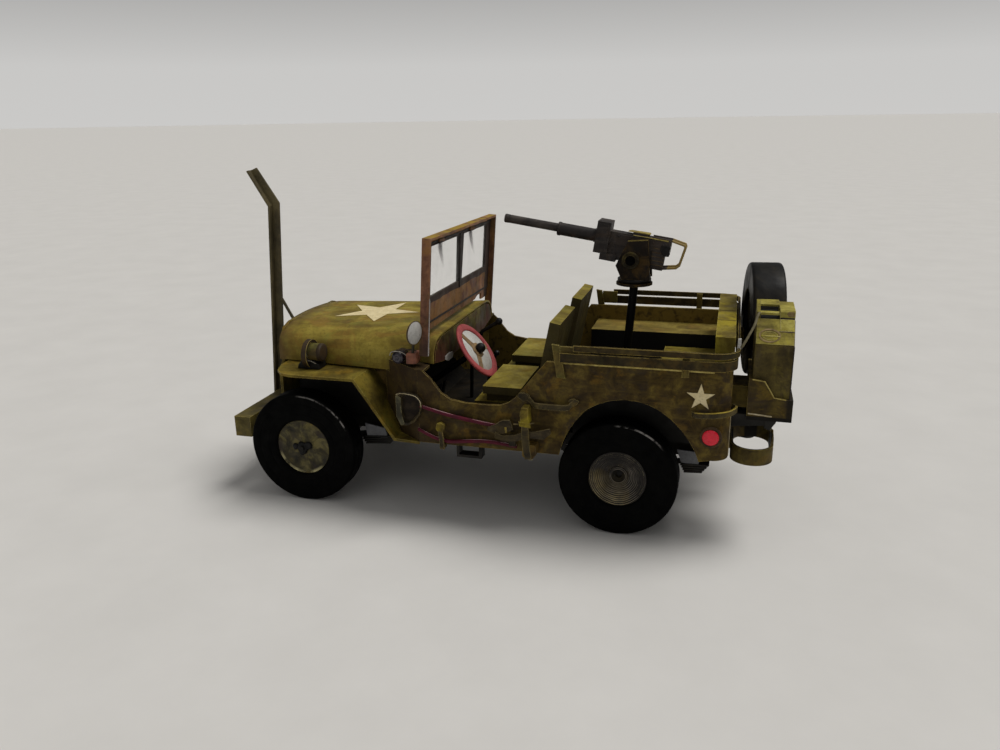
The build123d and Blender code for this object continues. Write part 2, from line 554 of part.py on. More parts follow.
# cheeks, high in front and low behind
CHEEK = [(-38.5, 33.2), (-29.9, 33.2), (-29.9, 42.3), (-32.7, 41.9), (-35.0, 38.0), (-38.5, 37.7)]
tray = tray + prism_y(CHEEK, 26.0, 26.8) + prism_y(CHEEK, 10.4, 11.2)
tray = tray + box(-29.2, BODY_REAR, 15.5, 24.0, 34.4, 39.6)
put("rear_carriers", Compound(children=[tray, spare_mount]))

# bumperettes: card strip rolled to an oval loop, its seam at the back
LOOP_C = (-31.1, 18.0)


def loop():
    a, b, t, z0, z1 = 4.9, 10.0, STRIP, 21.4, 25.4
    out = prism_oval(a, b, z0, z1) - prism_oval(a - t, b - t, z0 - 1, z1 + 1)
    lug = box(BODY_REAR - 2.2, BODY_REAR, LOOP_C[1] - 3.0, LOOP_C[1] + 3.0, 22.6, 24.8)
    lug = lug - prism_oval(a - t * 0.5, b - t * 0.5, z0 - 1, z1 + 1)
    return out + lug


def prism_oval(a, b, z0, z1):
    # straight sides joined by half circles, long axis across the car
    s = box(LOOP_C[0] - a, LOOP_C[0] + a, LOOP_C[1] - (b - a), LOOP_C[1] + (b - a), z0, z1)
    return s + cyl_z(LOOP_C[0], LOOP_C[1] - (b - a), a, z0, z1) + cyl_z(LOOP_C[0], LOOP_C[1] + (b - a), a, z0, z1)


put("bumperettes", Compound(children=both(loop())))

# tow hook on the rear crossmember
hook = box(-29.4, -23.6, -1.6, 1.6, 18.2, 20.4) + (cyl_z(-30.4, 0, 2.0, 18.2, 20.4) - cyl_z(-30.4, 0, 1.1, 17.0, 21.4))
hook = hook - cyl_z(-30.4, 0, 1.1, 17.0, 21.4)
put("tow_hook", hook)

# round reflectors low on the rear corners, with the bar handle above
ref = cyl_y(-21.6, 29.0, 2.6, BODY_HALF, BODY_HALF + 0.5)
ref = ref + cyl_y(-21.6, 29.0, 1.9, BODY_HALF + 0.5, BODY_HALF + 0.9)
put("reflectors", Compound(children=both(ref)))

corner = strip_xy([(-17.4, 32.35), (-18.6, 33.4), (-22.6, 33.3), (-26.0, 31.2), (-27.0, 28.6), (-26.05, 27.2)],
                  0.5, 34.6, 36.8)
side_h = strip_xy([(24.2, 32.3), (20.6, 32.35), (19.4, 34.0), (12.4, 34.0), (11.2, 32.35), (9.4, 32.3)],
                  0.5, 33.9, 36.1)
trim_h = box(-60, 60, 32.0, 60, 0, 80)
put("body_handles", Compound(children=both(corner - box(-25.7, 60, 0, 32.0, 0, 80)) + both(side_h & trim_h)))

# ---------------------------------------------------------------- tools on the left side
blade = prism_y([(55.4, 34.6), (49.6, 34.6), (48.6, 31.0), (50.4, 25.2), (53.6, 24.8), (55.8, 29.0)], 32.2, 33.6)
scoop = prism_y([(54.6, 33.8), (50.4, 33.8), (49.6, 31.0), (51.0, 26.4), (53.2, 26.0), (54.9, 29.2)], 32.9, 34.0)
blade = blade - scoop
put("shovel", blade, rod((48.9, 32.9, 31.2), (26.8, 32.9, 28.0), 0.62))
axe = prism_y([(31.2, 29.6), (28.6, 27.4), (18.4, 28.4), (18.2, 25.6), (24.0, 24.8), (29.0, 25.4), (31.6, 26.0)],
              33.7, 34.6)
put("axe", axe, rod((50.2, 33.0, 24.0), (24.0, 33.0, 23.0), 0.62), box(24.4, 26.0, 32.7, 33.8, 23.0, 26.0))
clampA = box(42.9, 44.1, 33.7, 34.2, 20.9, 26.4) + box(42.9, 44.1, 32.0, 33.7, 25.4, 26.4) + box(42.9, 44.1, 32.0, 33.7, 20.9, 21.9)
clampB = box(20.8, 22.6, 34.65, 35.2, 20.6, 33.6) + box(20.8, 22.6, 32.0, 34.65, 31.8, 33.6) + box(20.8, 22.6, 32.0, 34.65, 20.6, 21.9)
put("tool_clamps", Compound(children=[clampA, clampB]))

# U strap under the left sill
strap = box(34.9, 41.6, 25.0, 28.0, 16.5, 17.2) + box(34.9, 35.6, 25.0, 28.0, 17.2, FLOOR_Z) + box(40.9, 41.6, 25.0, 28.0, 17.2, FLOOR_Z)
put("sill_strap", strap)

# ---------------------------------------------------------------- ring-mounted gun
post = rod(POST_FOOT, POST_TOP, POST_R) + rod((POST_FOOT[0], 0, POST_FOOT[2]), (POST_FOOT[0], 0, POST_FOOT[2] + 0.8), 3.2)
post = post & box(-20, 20, -10, 10, REAR_FLOOR_Z + CARD, POST_TOP[2] - 0.15)
put("gun_post", post)

# turntable: vertical pin axis through the top of the post
TT_Z0, TT_Z1 = POST_TOP[2] + 0.05, POST_TOP[2] + 1.7
tt = cyl_z(POST_TOP[0], 0, 4.7, TT_Z0, TT_Z0 + 0.6) + cyl_z(POST_TOP[0], 0, 4.3, TT_Z0 + 0.6, TT_Z1)
CRADLE = [(3.6, TT_Z1), (5.2, 63.2), (3.4, 67.0), (1.7, 70.0), (-3.0, 70.1), (-3.7, TT_Z1)]
c1 = prism_y(CRADLE, 2.75, 3.35)
base = box(-3.4, 3.4, -3.35, 3.35, TT_Z1, TT_Z1 + 0.6)
ring = cyl_y(GUN_PIVOT[0], GUN_PIVOT[2], 1.7, 3.35, 3.75)
put("gun_cradle", tt, c1, other_side(c1), base, ring, other_side(ring))


def gun_local(s):
    # built level about the pivot, then raised to the rest elevation
    return Pos(*GUN_PIVOT) * Rot(0, -GUN_ELEV, 0) * s


RCV_W = 1.9
gun = join([
    box(-8.7, 7.0, -RCV_W, RCV_W, 3.3, 6.3),            # receiver
    box(-9.2, -8.7, -2.1, 2.1, 3.1, 6.4),               # back plate
    box(6.5, 10.0, -3.2, 3.2, 0.4, 8.5),                # front block
    box(4.1, 8.3, -1.9, 1.9, -1.4, 0.4),                # block below it
    box(-8.2, -5.0, -RCV_W, RCV_W, -1.4, 3.3),          # rear lower plate
    box(-5.0, 6.5, -1.2, 1.2, -0.9, 3.3),
    cyl_x(0, 4.25, 1.65, 10.0, 20.5),                   # jacket
    cyl_x(0, 4.45, 1.1, 20.5, 35.1),                    # barrel
    box(-3.4, 0.8, -1.2, 1.2, 6.3, 6.9),                # sight base
    cyl_y(0, 0, 0.8, -2.55, 2.55),                      # trunnion
])


def wire(points, r):
    s = rod(points[0], points[1], r)
    for a, b in zip(points[1:], points[2:]):
        s = s + rod(a, b, r) + Pos(*a) * Sphere(r)
    return s


# wire loops that run along the receiver and make the rear grips
GRIP = [(-4.2, 6.5), (-9.2, 6.5), (-12.6, 5.9), (-12.85, 5.4), (-12.2, 0.7), (-11.5, -0.1), (-7.6, -1.0)]
g1 = wire([(x, 1.5, z) for x, z in GRIP], 0.32)
put("gun", gun_local(gun + g1 + other_side(g1)))

# ---------------------------------------------------------------- export
for name, shape in NODES.items():
    shape = Pos(*SHIFT) * shape
    export_step(shape, "parts/%s.step" % name)

if __name__ == "__main__":
    lo = [1e9] * 3
    hi = [-1e9] * 3
    for name, shape in NODES.items():
        bb = shape.bounding_box()
        for i, (a, b) in enumerate(((bb.min.X, bb.max.X), (bb.min.Y, bb.max.Y), (bb.min.Z, bb.max.Z))):
            lo[i] = min(lo[i], a)
            hi[i] = max(hi[i], b)
    print("design frame box", [round(v, 3) for v in lo], [round(v, 3) for v in hi])
    print("shift for the bottom centre", [round(-(lo[i] + hi[i]) / 2, 3) for i in (0, 1)], round(-lo[2], 3))
    print(len(NODES), "nodes")
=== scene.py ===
import bpy, bmesh, json, math, random
from mathutils import Matrix, Vector, noise


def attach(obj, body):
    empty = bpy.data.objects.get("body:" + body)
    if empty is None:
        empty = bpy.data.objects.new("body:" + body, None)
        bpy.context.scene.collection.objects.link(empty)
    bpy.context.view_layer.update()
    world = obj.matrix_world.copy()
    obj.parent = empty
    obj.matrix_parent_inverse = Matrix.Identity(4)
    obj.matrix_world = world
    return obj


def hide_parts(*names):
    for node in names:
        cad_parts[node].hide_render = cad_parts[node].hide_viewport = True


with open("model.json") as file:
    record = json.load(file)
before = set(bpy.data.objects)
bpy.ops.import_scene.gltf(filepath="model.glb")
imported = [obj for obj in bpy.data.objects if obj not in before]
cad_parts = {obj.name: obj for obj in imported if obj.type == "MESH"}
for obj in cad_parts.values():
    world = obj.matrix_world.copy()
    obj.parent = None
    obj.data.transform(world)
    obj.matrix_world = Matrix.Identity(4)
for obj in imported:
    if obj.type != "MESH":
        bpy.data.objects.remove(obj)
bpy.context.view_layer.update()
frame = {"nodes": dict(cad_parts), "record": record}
NODES = frame["nodes"]
scene = bpy.context.scene

# Coordinates below are in the design frame of the model in millimetres (origin on the ground under the
# middle of the rear axle, X to the nose, Y to the left, Z up). D() brings them to the frame, in metres.
SHIFT = Vector((-35.472, -0.475, 0.0))


def D(x, y, z):
    return ((Vector((x, y, z)) + SHIFT) * 0.001)


def rgb(r, g, b):
    out = []
    for v in (r, g, b):
        v = v / 255.0
        out.append(v / 12.92 if v <= 0.04045 else ((v + 0.055) / 1.055) ** 2.4)
    return (out[0], out[1], out[2], 1.0)


# ---------------------------------------------------------------- camera at the photograph's angle
cam = bpy.data.cameras.new("cam")
cam.lens = 29.67
cam.sensor_width = 36.0
cam.clip_start = 0.005
cam.clip_end = 100
cam_ob = bpy.data.objects.new("cam", cam)
scene.collection.objects.link(cam_ob)
pos = D(-23.3968257, 214.62856792, 100.51045769)
cf = Vector((0.26063407, -0.91763511, -0.30002614))
cr = Vector((-0.96314278, -0.2685548, -0.01530703))
cu = Vector((0.06652719, -0.29295754, 0.95380816))
cam_ob.matrix_world = Matrix(((cr.x, cu.x, -cf.x, pos.x), (cr.y, cu.y, -cf.y, pos.y),
                              (cr.z, cu.z, -cf.z, pos.z), (0, 0, 0, 1)))
scene.camera = cam_ob


# ---------------------------------------------------------------- materials
class Mat:
    """A node material built step by step. Object coordinates are metres in the row frame."""

    def __init__(self, name, clear=False):
        self.m = bpy.data.materials.new(name)
        self.m.use_nodes = True
        self.t = self.m.node_tree
        self.t.nodes.clear()
        self.out = self.add("ShaderNodeOutputMaterial")
        self.b = self.add("ShaderNodeBsdfPrincipled")
        self.link(self.b.outputs["BSDF"], self.out.inputs["Surface"])
        self.co = self.add("ShaderNodeTexCoord").outputs["Object"]
        self.hit = None

    def add(self, kind, **props):
        n = self.t.nodes.new(kind)
        for k, v in props.items():
            setattr(n, k, v)
        return n

    def link(self, a, b):
        self.t.links.new(a, b)

    def put(self, sock, v):
        if hasattr(v, "is_output"):
            self.link(v, sock)
        else:
            sock.default_value = v

    def place(self, scale=(1, 1, 1), off=(0, 0, 0), rot=(0, 0, 0), vec=None):
        n = self.add("ShaderNodeMapping")
        self.link(vec or self.co, n.inputs["Vector"])
        n.inputs["Location"].default_value = off
        n.inputs["Rotation"].default_value = rot
        n.inputs["Scale"].default_value = scale
        return n.outputs["Vector"]

    def noise(self, scale, detail=3.0, rough=0.55, dist=0.0, vec=None):
        n = self.add("ShaderNodeTexNoise")
        self.link(vec or self.co, n.inputs["Vector"])
        n.inputs["Scale"].default_value = scale
        n.inputs["Detail"].default_value = detail
        n.inputs["Roughness"].default_value = rough
        n.inputs["Distortion"].default_value = dist
        return n.outputs["Fac"]

    def ramp(self, fac, stops):
        n = self.add("ShaderNodeValToRGB")
        self.link(fac, n.inputs["Fac"])
        e = n.color_ramp.elements
        while len(e) < len(stops):
            e.new(0.5)
        for el, (p, c) in zip(e, stops):
            el.position = p
            el.color = c
        return n.outputs["Color"]

    def span(self, x, a, b, c=0.0, d=1.0):
        n = self.add("ShaderNodeMapRange", interpolation_type="SMOOTHSTEP")
        self.link(x, n.inputs["Value"])
        for k, v in (("From Min", a), ("From Max", b), ("To Min", c), ("To Max", d)):
            n.inputs[k].default_value = v
        return n.outputs["Result"]

    def math(self, op, a, b=None, c=None, clamp=False):
        n = self.add("ShaderNodeMath", operation=op, use_clamp=clamp)
        self.put(n.inputs[0], a)
        if b is not None:
            self.put(n.inputs[1], b)
        if c is not None:
            self.put(n.inputs[2], c)
        return n.outputs[0]

    def mix(self, fac, a, b, blend="MIX"):
        n = self.add("ShaderNodeMix", data_type="RGBA", blend_type=blend)
        self.put(n.inputs[0], fac)
        self.put(n.inputs[6], a)
        self.put(n.inputs[7], b)
        return n.outputs[2]

    def bump(self, height, strength, dist, normal=None):
        n = self.add("ShaderNodeBump")
        n.inputs["Strength"].default_value = strength
        n.inputs["Distance"].default_value = dist
        self.link(height, n.inputs["Height"])
        if normal is not None:
            self.link(normal, n.inputs["Normal"])
        return n.outputs["Normal"]

    def edges(self, radius, lo=0.03, hi=0.2, samples=4):
        """1 close to the object's own edges, 0 on its flat faces."""
        bev = self.add("ShaderNodeBevel", samples=samples)
        bev.inputs["Radius"].default_value = radius
        geo = self.add("ShaderNodeNewGeometry")
        dot = self.add("ShaderNodeVectorMath", operation="DOT_PRODUCT")
        self.link(bev.outputs["Normal"], dot.inputs[0])
        self.link(geo.outputs["Normal"], dot.inputs[1])
        inv = self.math("SUBTRACT", 1.0, dot.outputs["Value"])
        return self.span(inv, lo, hi)

    def xyz(self, vec=None):
        n = self.add("ShaderNodeSeparateXYZ")
        self.link(vec or self.co, n.inputs[0])
        return n.outputs

    def along(self, point, direction):
        """Distance in metres from a design point along a direction."""
        d = Vector(direction).normalized()
        n = self.add("ShaderNodeVectorMath", operation="DOT_PRODUCT")
        self.link(self.co, n.inputs[0])
        n.inputs[1].default_value = tuple(d)
        return self.math("SUBTRACT", n.outputs["Value"], D(*point).dot(d))

    def normal(self):
        g = self.add("ShaderNodeNewGeometry")
        s = self.add("ShaderNodeSeparateXYZ")
        self.link(g.outputs["Normal"], s.inputs[0])
        return s.outputs

    def radius_y(self, x, z):
        """Distance in metres from the axle line at design (x, z)."""
        c = D(x, 0, z)
        s = self.xyz()
        dx = self.math("SUBTRACT", s[0], c.x)
        dz = self.math("SUBTRACT", s[2], c.z)
        return self.math("SQRT", self.math("ADD", self.math("MULTIPLY", dx, dx), self.math("MULTIPLY", dz, dz)))

    def finish(self, color, rough, normal=None, spec=0.3, metallic=0.0):
        self.put(self.b.inputs["Base Color"], color)
        self.put(self.b.inputs["Roughness"], rough)
        self.b.inputs["Specular IOR Level"].default_value = spec
        self.b.inputs["Metallic"].default_value = metallic
        if normal is not None:
            self.link(normal, self.b.inputs["Normal"])
        return self.m


def painted(name, dark, mid, light, patch=None, patch_at=(0.52, 0.62), patch_mix=0.6, green=None, green_mix=0.5,
            edge=(168, 152, 84), edge_w=0.00017, edge_mix=0.85, edge_break=(0.40, 0.52), streak=(40, 500, 500),
            streak_mix=0.35, rough=(0.5, 0.75), grain=0.25, brush=0.25, spec=0.25, seed=0.0, scale=1.0, dirt=0.35,
            mask=None, mask_col=(22, 19, 15), mask_mix=1.0, fade=None, top=None, top_mix=0.7, inner=None,
            inner_mix=0.8):
    """Brush-painted card: mottled colour, dry-brush strokes, rubbed bright edges, paper grain; fade, top and mask can
    also paint shade and light into the colour.
    """
    m = Mat(name)
    off = (seed * 1.7, seed * 0.9, seed * 1.3)
    co = m.place(off=off)
    big = m.noise(105 * scale, 6, 0.62, 0.5, co)
    col = m.ramp(big, [(0.36, rgb(*dark)), (0.50, rgb(*mid)), (0.64, rgb(*light))])
    if patch is not None:
        p = m.noise(70 * scale, 5, 0.62, 0.9, m.place(off=(off[0] + 3.1, off[1] + 1.7, off[2] + 0.4)))
        col = m.mix(m.math("MULTIPLY", m.span(p, *patch_at), patch_mix), col, rgb(*patch))
    if green is not None:
        g = m.noise(90 * scale, 5, 0.62, 0.7, m.place(off=(off[0] + 7.3, off[1] + 0.2, off[2] + 5.4)))
        col = m.mix(m.math("MULTIPLY", m.span(g, 0.52, 0.64), green_mix), col, rgb(*green))
    # brush strokes
    st = m.noise(1.0, 4, 0.65, 0.3, m.place(scale=streak, off=off))
    col = m.mix(m.math("MULTIPLY", m.span(st, 0.50, 0.70), streak_mix), col, rgb(*light))
    col = m.mix(m.math("MULTIPLY", m.span(st, 0.48, 0.30), streak_mix), col, rgb(*dark))
    # fine speckle of the paper
    sp = m.noise(1500, 2, 0.6, 0.0, co)
    col = m.mix(m.math("MULTIPLY", m.span(sp, 0.5, 0.7), 0.32), col, rgb(*(v * 0.8 for v in dark)))
    # dark wash in stains
    ds = m.noise(230 * scale, 4, 0.6, 1.0, co)
    col = m.mix(m.math("MULTIPLY", m.span(ds, 0.58, 0.72), dirt), col, rgb(*(v * 0.5 for v in dark)))
    if fade is not None:
        # darker towards one end: (point, direction, from mm, to mm, colour, amount)
        fp, fd, fa, fb, fc, fm = fade
        d = m.along(fp, fd)
        wob = m.math("MULTIPLY", m.math("SUBTRACT", ds, 0.5), 0.006)
        col = m.mix(m.math("MULTIPLY", m.span(m.math("ADD", d, wob), fa * 0.001, fb * 0.001), fm), col, rgb(*fc))
    if top is not None:
        # painted light: a lighter, yellower tone over the faces that look up
        tn = m.noise(150 * scale, 4, 0.6, 0.5, co)
        up = m.math("MULTIPLY", m.span(m.normal()[2], 0.5, 0.8), m.span(tn, 0.36, 0.56))
        col = m.mix(m.math("MULTIPLY", up, top_mix), col, rgb(*top))
    if inner is not None:
        # the inner faces of upright walls, towards the middle of the car, in another tone
        sy = m.math("SIGN", m.math("SUBTRACT", m.xyz()[1], D(0, 0, 0).y))
        tn = m.noise(170 * scale, 4, 0.6, 0.5, co)
        inw = m.math("MULTIPLY", m.span(m.math("MULTIPLY", m.math("MULTIPLY", sy, m.normal()[1]), -1.0), 0.3, 0.5),
                     m.span(tn, 0.30, 0.52))
        col = m.mix(m.math("MULTIPLY", inw, inner_mix), col, rgb(*inner))
    # rubbed edges
    eb = m.noise(330, 3, 0.6, 0.0, co)
    em = m.math("MULTIPLY", m.edges(edge_w), m.span(eb, *edge_break))
    col = m.mix(m.math("MULTIPLY", em, edge_mix), col, rgb(*edge))
    # a second colour through a mask: painted shade for most callers, the brass grip for the gun
    if mask is not None:
        col = m.mix(m.math("MULTIPLY", mask(m), mask_mix), col, rgb(*mask_col))
    r = m.span(m.noise(260, 3, 0.5, 0.0, co), 0.3, 0.7, rough[0], rough[1])
    h1 = m.noise(2600, 3, 0.6, 0.0, co)
    n = m.bump(h1, grain, 0.00006)
    n = m.bump(st, brush, 0.00012, n)
    n = m.bump(big, 0.18, 0.0005, n)
    return m.finish(col, r, n, spec)


def plain_noise(name, dark, light, rough=(0.45, 0.7), scale=300, spec=0.3, grain=0.3, edge=None, edge_w=0.00025,
                edge_mix=0.7, metallic=0.0, seed=0.0):
    m = Mat(name)
    co = m.place(off=(seed, seed * 0.7, seed * 1.9))
    a = m.noise(scale, 5, 0.65, 0.5, co)
    col = m.ramp(a, [(0.32, rgb(*dark)), (0.68, rgb(*light))])
    sp = m.noise(1700, 2, 0.5, 0.0, co)
    col = m.mix(m.math("MULTIPLY", m.span(sp, 0.52, 0.72), 0.3), col, rgb(*(v * 0.6 for v in dark)))
    if edge is not None:
        eb = m.noise(420, 3, 0.6, 0.0, co)
        col = m.mix(m.math("MULTIPLY", m.math("MULTIPLY", m.edges(edge_w), m.span(eb, 0.38, 0.58)), edge_mix),
                    col, rgb(*edge))
    r = m.span(m.noise(500, 3, 0.5, 0.0, co), 0.3, 0.7, rough[0], rough[1])
    n = m.bump(m.noise(2400, 3, 0.6, 0.0, co), grain, 0.00006)
    n = m.bump(a, 0.2, 0.0002, n)
    return m.finish(col, r, n, spec, metallic)


GOLD = (172, 152, 78)


def facing(axis, sign, lo=0.3, hi=0.6):
    """1 where the surface faces along +/- an axis."""
    def f(m):
        return m.span(m.math("MULTIPLY", m.normal()[axis], sign), lo, hi)
    return f


def wheel_box_shade(m):
    """Painted shade on the upright walls and undersides of the wheel boxes; only their tops keep the olive paint."""
    n = m.normal()
    out = m.span(m.math("ABSOLUTE", n[1]), 0.3, 0.6)
    return m.math("MAXIMUM", out, m.span(m.math("MULTIPLY", n[2], -1.0), 0.3, 0.6))


def seat_shade(m):
    """Painted shade on the backs, sides and undersides of the seats."""
    n = m.normal()
    a = m.span(m.math("ABSOLUTE", n[1]), 0.4, 0.7)
    b = m.span(m.math("MULTIPLY", n[0], -1.0), 0.6, 0.8)
    return m.math("MAXIMUM", a, m.math("MAXIMUM", b, m.span(m.math("MULTIPLY", n[2], -1.0), 0.5, 0.8)))


def fender_under_shade(m):
    """Painted shade on the underside of the fender and on the apron behind the wheel."""
    z = m.along((0, 0, 35.9), (0, 0, -1))
    y = m.math("ABSOLUTE", m.math("SUBTRACT", m.xyz()[1], D(0, 0, 0).y))
    apron = m.math("MULTIPLY", m.span(z, 0.0, 0.0002), m.span(y, 0.0165, 0.0163))
    return m.math("MAXIMUM", m.span(m.math("MULTIPLY", m.normal()[2], -1.0), 0.05, 0.25), apron)


SB, SRL = math.radians(3.8), math.radians(0.7)
SM = Matrix.Translation(Vector((49.4, 0.0, 57.0))) @ Matrix.Rotation(SRL, 4, "X") @ Matrix.Rotation(-SB, 4, "Y")
S_Y = (SM.to_3x3() @ Vector((0, 1, 0)))
S_Z = (SM.to_3x3() @ Vector((0, 0, 1)))


def screen_seal_and_shade(m):
    """The dark painted border of the two openings, with a hand-drawn edge, and painted shade at the far end of the
    plate, low on the near flange and on the back of the lower panel.
    """
    wob = m.math("MULTIPLY", m.math("SUBTRACT", m.noise(200, 3, 0.5), 0.5), 0.0012)
    y = m.math("ADD", m.math("ABSOLUTE", m.along((49.4, 0, 57.0), S_Y)), wob)
    z = m.math("ADD", m.along((49.4, 0, 57.0), S_Z), wob)
    a = m.span(y, 0.0249, 0.0247)
    lo = m.span(z, -0.0017, -0.0015)
    hi = m.span(z, 0.0135, 0.0133)
    seal = m.math("MULTIPLY", a, m.math("MULTIPLY", lo, hi))
    # painted shade: the far end of the plate is dark down to its foot, the near flange only low down, the back of the
    # lower panel a little
    ys = m.math("ADD", m.along((49.4, 0, 57.0), S_Y), wob)
    back = m.span(m.math("MULTIPLY", m.normal()[0], -1.0), 0.4, 0.7)
    far = m.math("MULTIPLY", back, m.math("MULTIPLY", m.span(ys, -0.0240, -0.0244), m.span(z, 0.0150, 0.0145)))
    near = m.math("MULTIPLY", m.span(ys, 0.0262, 0.0266), m.span(z, -0.0075, -0.0125))
    panel = m.math("MULTIPLY", m.math("MULTIPLY", back, m.span(z, -0.0015, -0.0018)), 0.16)
    return m.math("MAXIMUM", m.math("MAXIMUM", seal, far), m.math("MAXIMUM", m.math("MULTIPLY", near, 0.8), panel))


def tray_low_shade(m):
    """Painted shade on the lower band and back edge of the can tray."""
    a = m.span(m.along((0, 0, 33.45), (0, 0, -1)), 0.0, 0.00025)
    b = m.span(m.along((-37.3, 0, 0), (-1, 0, 0)), 0.0, 0.0009)
    return m.math("MAXIMUM", a, m.math("MULTIPLY", b, 0.85))


def loop_inside_shade(m):
    """Painted shade on the inner face of the two oval bumperettes."""
    y = m.math("ABSOLUTE", m.math("SUBTRACT", m.xyz()[1], D(0, 0, 0).y))
    dx = m.math("DIVIDE", m.along((-31.1, 0, 0), (1, 0, 0)), 0.0049)
    dy = m.math("DIVIDE", m.math("SUBTRACT", y, 0.018), 0.010)
    r = m.math("SQRT", m.math("ADD", m.math("MULTIPLY", dx, dx), m.math("MULTIPLY", dy, dy)))
    return m.span(r, 0.972, 0.955)


# fade: painted shade over the front of the body sides, ahead of the door
BODY = painted("body_paint", (48, 37, 19), (71, 57, 27), (100, 84, 37), patch=(118, 88, 29), patch_mix=0.45,
               patch_at=(0.54, 0.66), green=(48, 40, 33), green_mix=0.65, edge=(178, 158, 86), seed=0.1,
               streak=(60, 500, 700), scale=2.3, fade=((37, 0, 0), (1, 0, 0), 4, 12, (46, 34, 21), 0.7), spec=0.12,
               rough=(0.6, 0.85), inner=(120, 100, 44), inner_mix=0.85)
TRAY = painted("tray_paint", (46, 36, 18), (66, 54, 26), (92, 78, 32), patch=(104, 84, 24), patch_mix=0.6,
               green=(50, 40, 34), green_mix=0.6, edge=(160, 142, 78), edge_mix=0.8, seed=0.9, scale=1.9, spec=0.12,
               mask=tray_low_shade, mask_col=(22, 19, 15))
LIP = plain_noise("lip_edge_paint", (120, 104, 52), (200, 182, 106), rough=(0.6, 0.8), scale=420, seed=7.3, spec=0.15)
EDGE = plain_noise("card_edge_rub", (150, 136, 104), (206, 192, 160), rough=(0.6, 0.8), scale=420, seed=7.9, spec=0.15)
# fade: painted shade over the rounded front of the bonnet
BONNET = painted("bonnet_paint", (96, 80, 33), (125, 109, 42), (154, 138, 60), patch=(130, 98, 42),
                 patch_mix=0.6, green=(112, 112, 48), green_mix=0.55, edge=(182, 166, 92), edge_mix=0.7, seed=0.6,
                 streak=(22, 280, 280), streak_mix=0.5, dirt=0.22,
                 fade=((89.5, 0, 0), (1, 0, 0), 0, 6, (80, 62, 38), 0.75), spec=0.15, rough=(0.55, 0.8))
COWL = painted("cowl_paint", (80, 65, 28), (106, 90, 36), (138, 122, 50), patch=(112, 80, 34), patch_mix=0.6, spec=0.15,
               green=(106, 106, 44), edge=(176, 160, 84), seed=1.0, streak=(280, 30, 280), streak_mix=0.5, dirt=0.25)
DASH = painted("dash_paint", (38, 29, 17), (66, 54, 25), (104, 92, 36), patch=(76, 42, 31), patch_mix=0.75,
               patch_at=(0.50, 0.60), green=(80, 82, 32), edge=(160, 144, 76), seed=1.15, streak=(300, 300, 40),
               streak_mix=0.5, spec=0.12, scale=1.5, fade=((0, 0, 43.5), (0, 0, -1), 0, 3.5, (66, 34, 27), 0.7))
FENDER = painted("fender_paint", (62, 51, 19), (90, 76, 26), (124, 108, 40), patch=(138, 108, 28), patch_mix=0.55,
                 green=(100, 98, 38), edge=(180, 162, 84), edge_mix=0.9, seed=1.3, streak=(40, 300, 300),
                 mask=fender_under_shade, mask_col=(20, 18, 15), spec=0.15)
BUMPER = painted("bumper_paint", (60, 52, 24), (86, 76, 34), (116, 102, 46), patch=(128, 104, 34), patch_mix=0.5,
                 edge=(190, 172, 100), edge_mix=0.9, edge_w=0.0002, seed=1.7, streak=(300, 30, 300))
INNER = painted("inner_paint", (90, 78, 30), (117, 103, 41), (144, 129, 56), patch=(128, 102, 30), patch_mix=0.45,
                green=(112, 112, 44), edge=(184, 168, 88), edge_mix=0.8, seed=2.2, streak=(300, 30, 300),
                streak_mix=0.45, dirt=0.2)
SEATS = painted("seat_paint", (92, 79, 29), (120, 107, 39), (152, 139, 62), patch=(132, 108, 30), patch_mix=0.4, spec=0.15,
                green=(104, 106, 44), edge=(186, 170, 92), edge_mix=0.85, seed=2.5, streak=(40, 300, 300),
                streak_mix=0.45, dirt=0.2, mask=seat_shade, mask_col=(42, 35, 21), mask_mix=0.85)
TAIL = painted("tail_paint", (80, 67, 24), (109, 95, 34), (136, 123, 48), patch=(156, 140, 30), patch_mix=0.65,
               patch_at=(0.50, 0.60), green=(104, 92, 38), edge=(204, 188, 104), edge_mix=0.9, seed=2.7,
               streak=(300, 300, 60), streak_mix=0.5, dirt=0.25, spec=0.12)
BOXES = painted("box_paint", (86, 72, 30), (112, 96, 40), (136, 120, 54), patch=(120, 92, 34), patch_mix=0.45,
                edge=(180, 164, 88), seed=2.9, streak=(40, 400, 300), streak_mix=0.45, dirt=0.25,
                mask=wheel_box_shade, mask_col=(20, 18, 14), scale=1.4)
# floor and bulkhead near black: painted shade inside the body
FLOOR_SHADE = painted("floor_shade_paint", (13, 11, 9), (20, 17, 13), (30, 26, 18), patch=(34, 27, 17), seed=2.9,
                edge=(70, 62, 40), edge_mix=0.4, spec=0.1)
# windscreen: its mask also paints shade, and top paints light on the up-facing faces
SCREEN = painted("screen_paint", (84, 57, 44), (122, 84, 63), (154, 112, 79), patch=(140, 102, 50), patch_mix=0.7,
                 patch_at=(0.48, 0.62), green=(100, 84, 46), green_mix=0.6, edge=(170, 134, 96), edge_mix=0.5,
                 seed=3.4, streak=(500, 500, 45), streak_mix=0.5, scale=1.3, mask=screen_seal_and_shade,
                 mask_col=(38, 31, 29), mask_mix=0.93,
                 top=(150, 124, 40), top_mix=0.9,
                 spec=0.15)
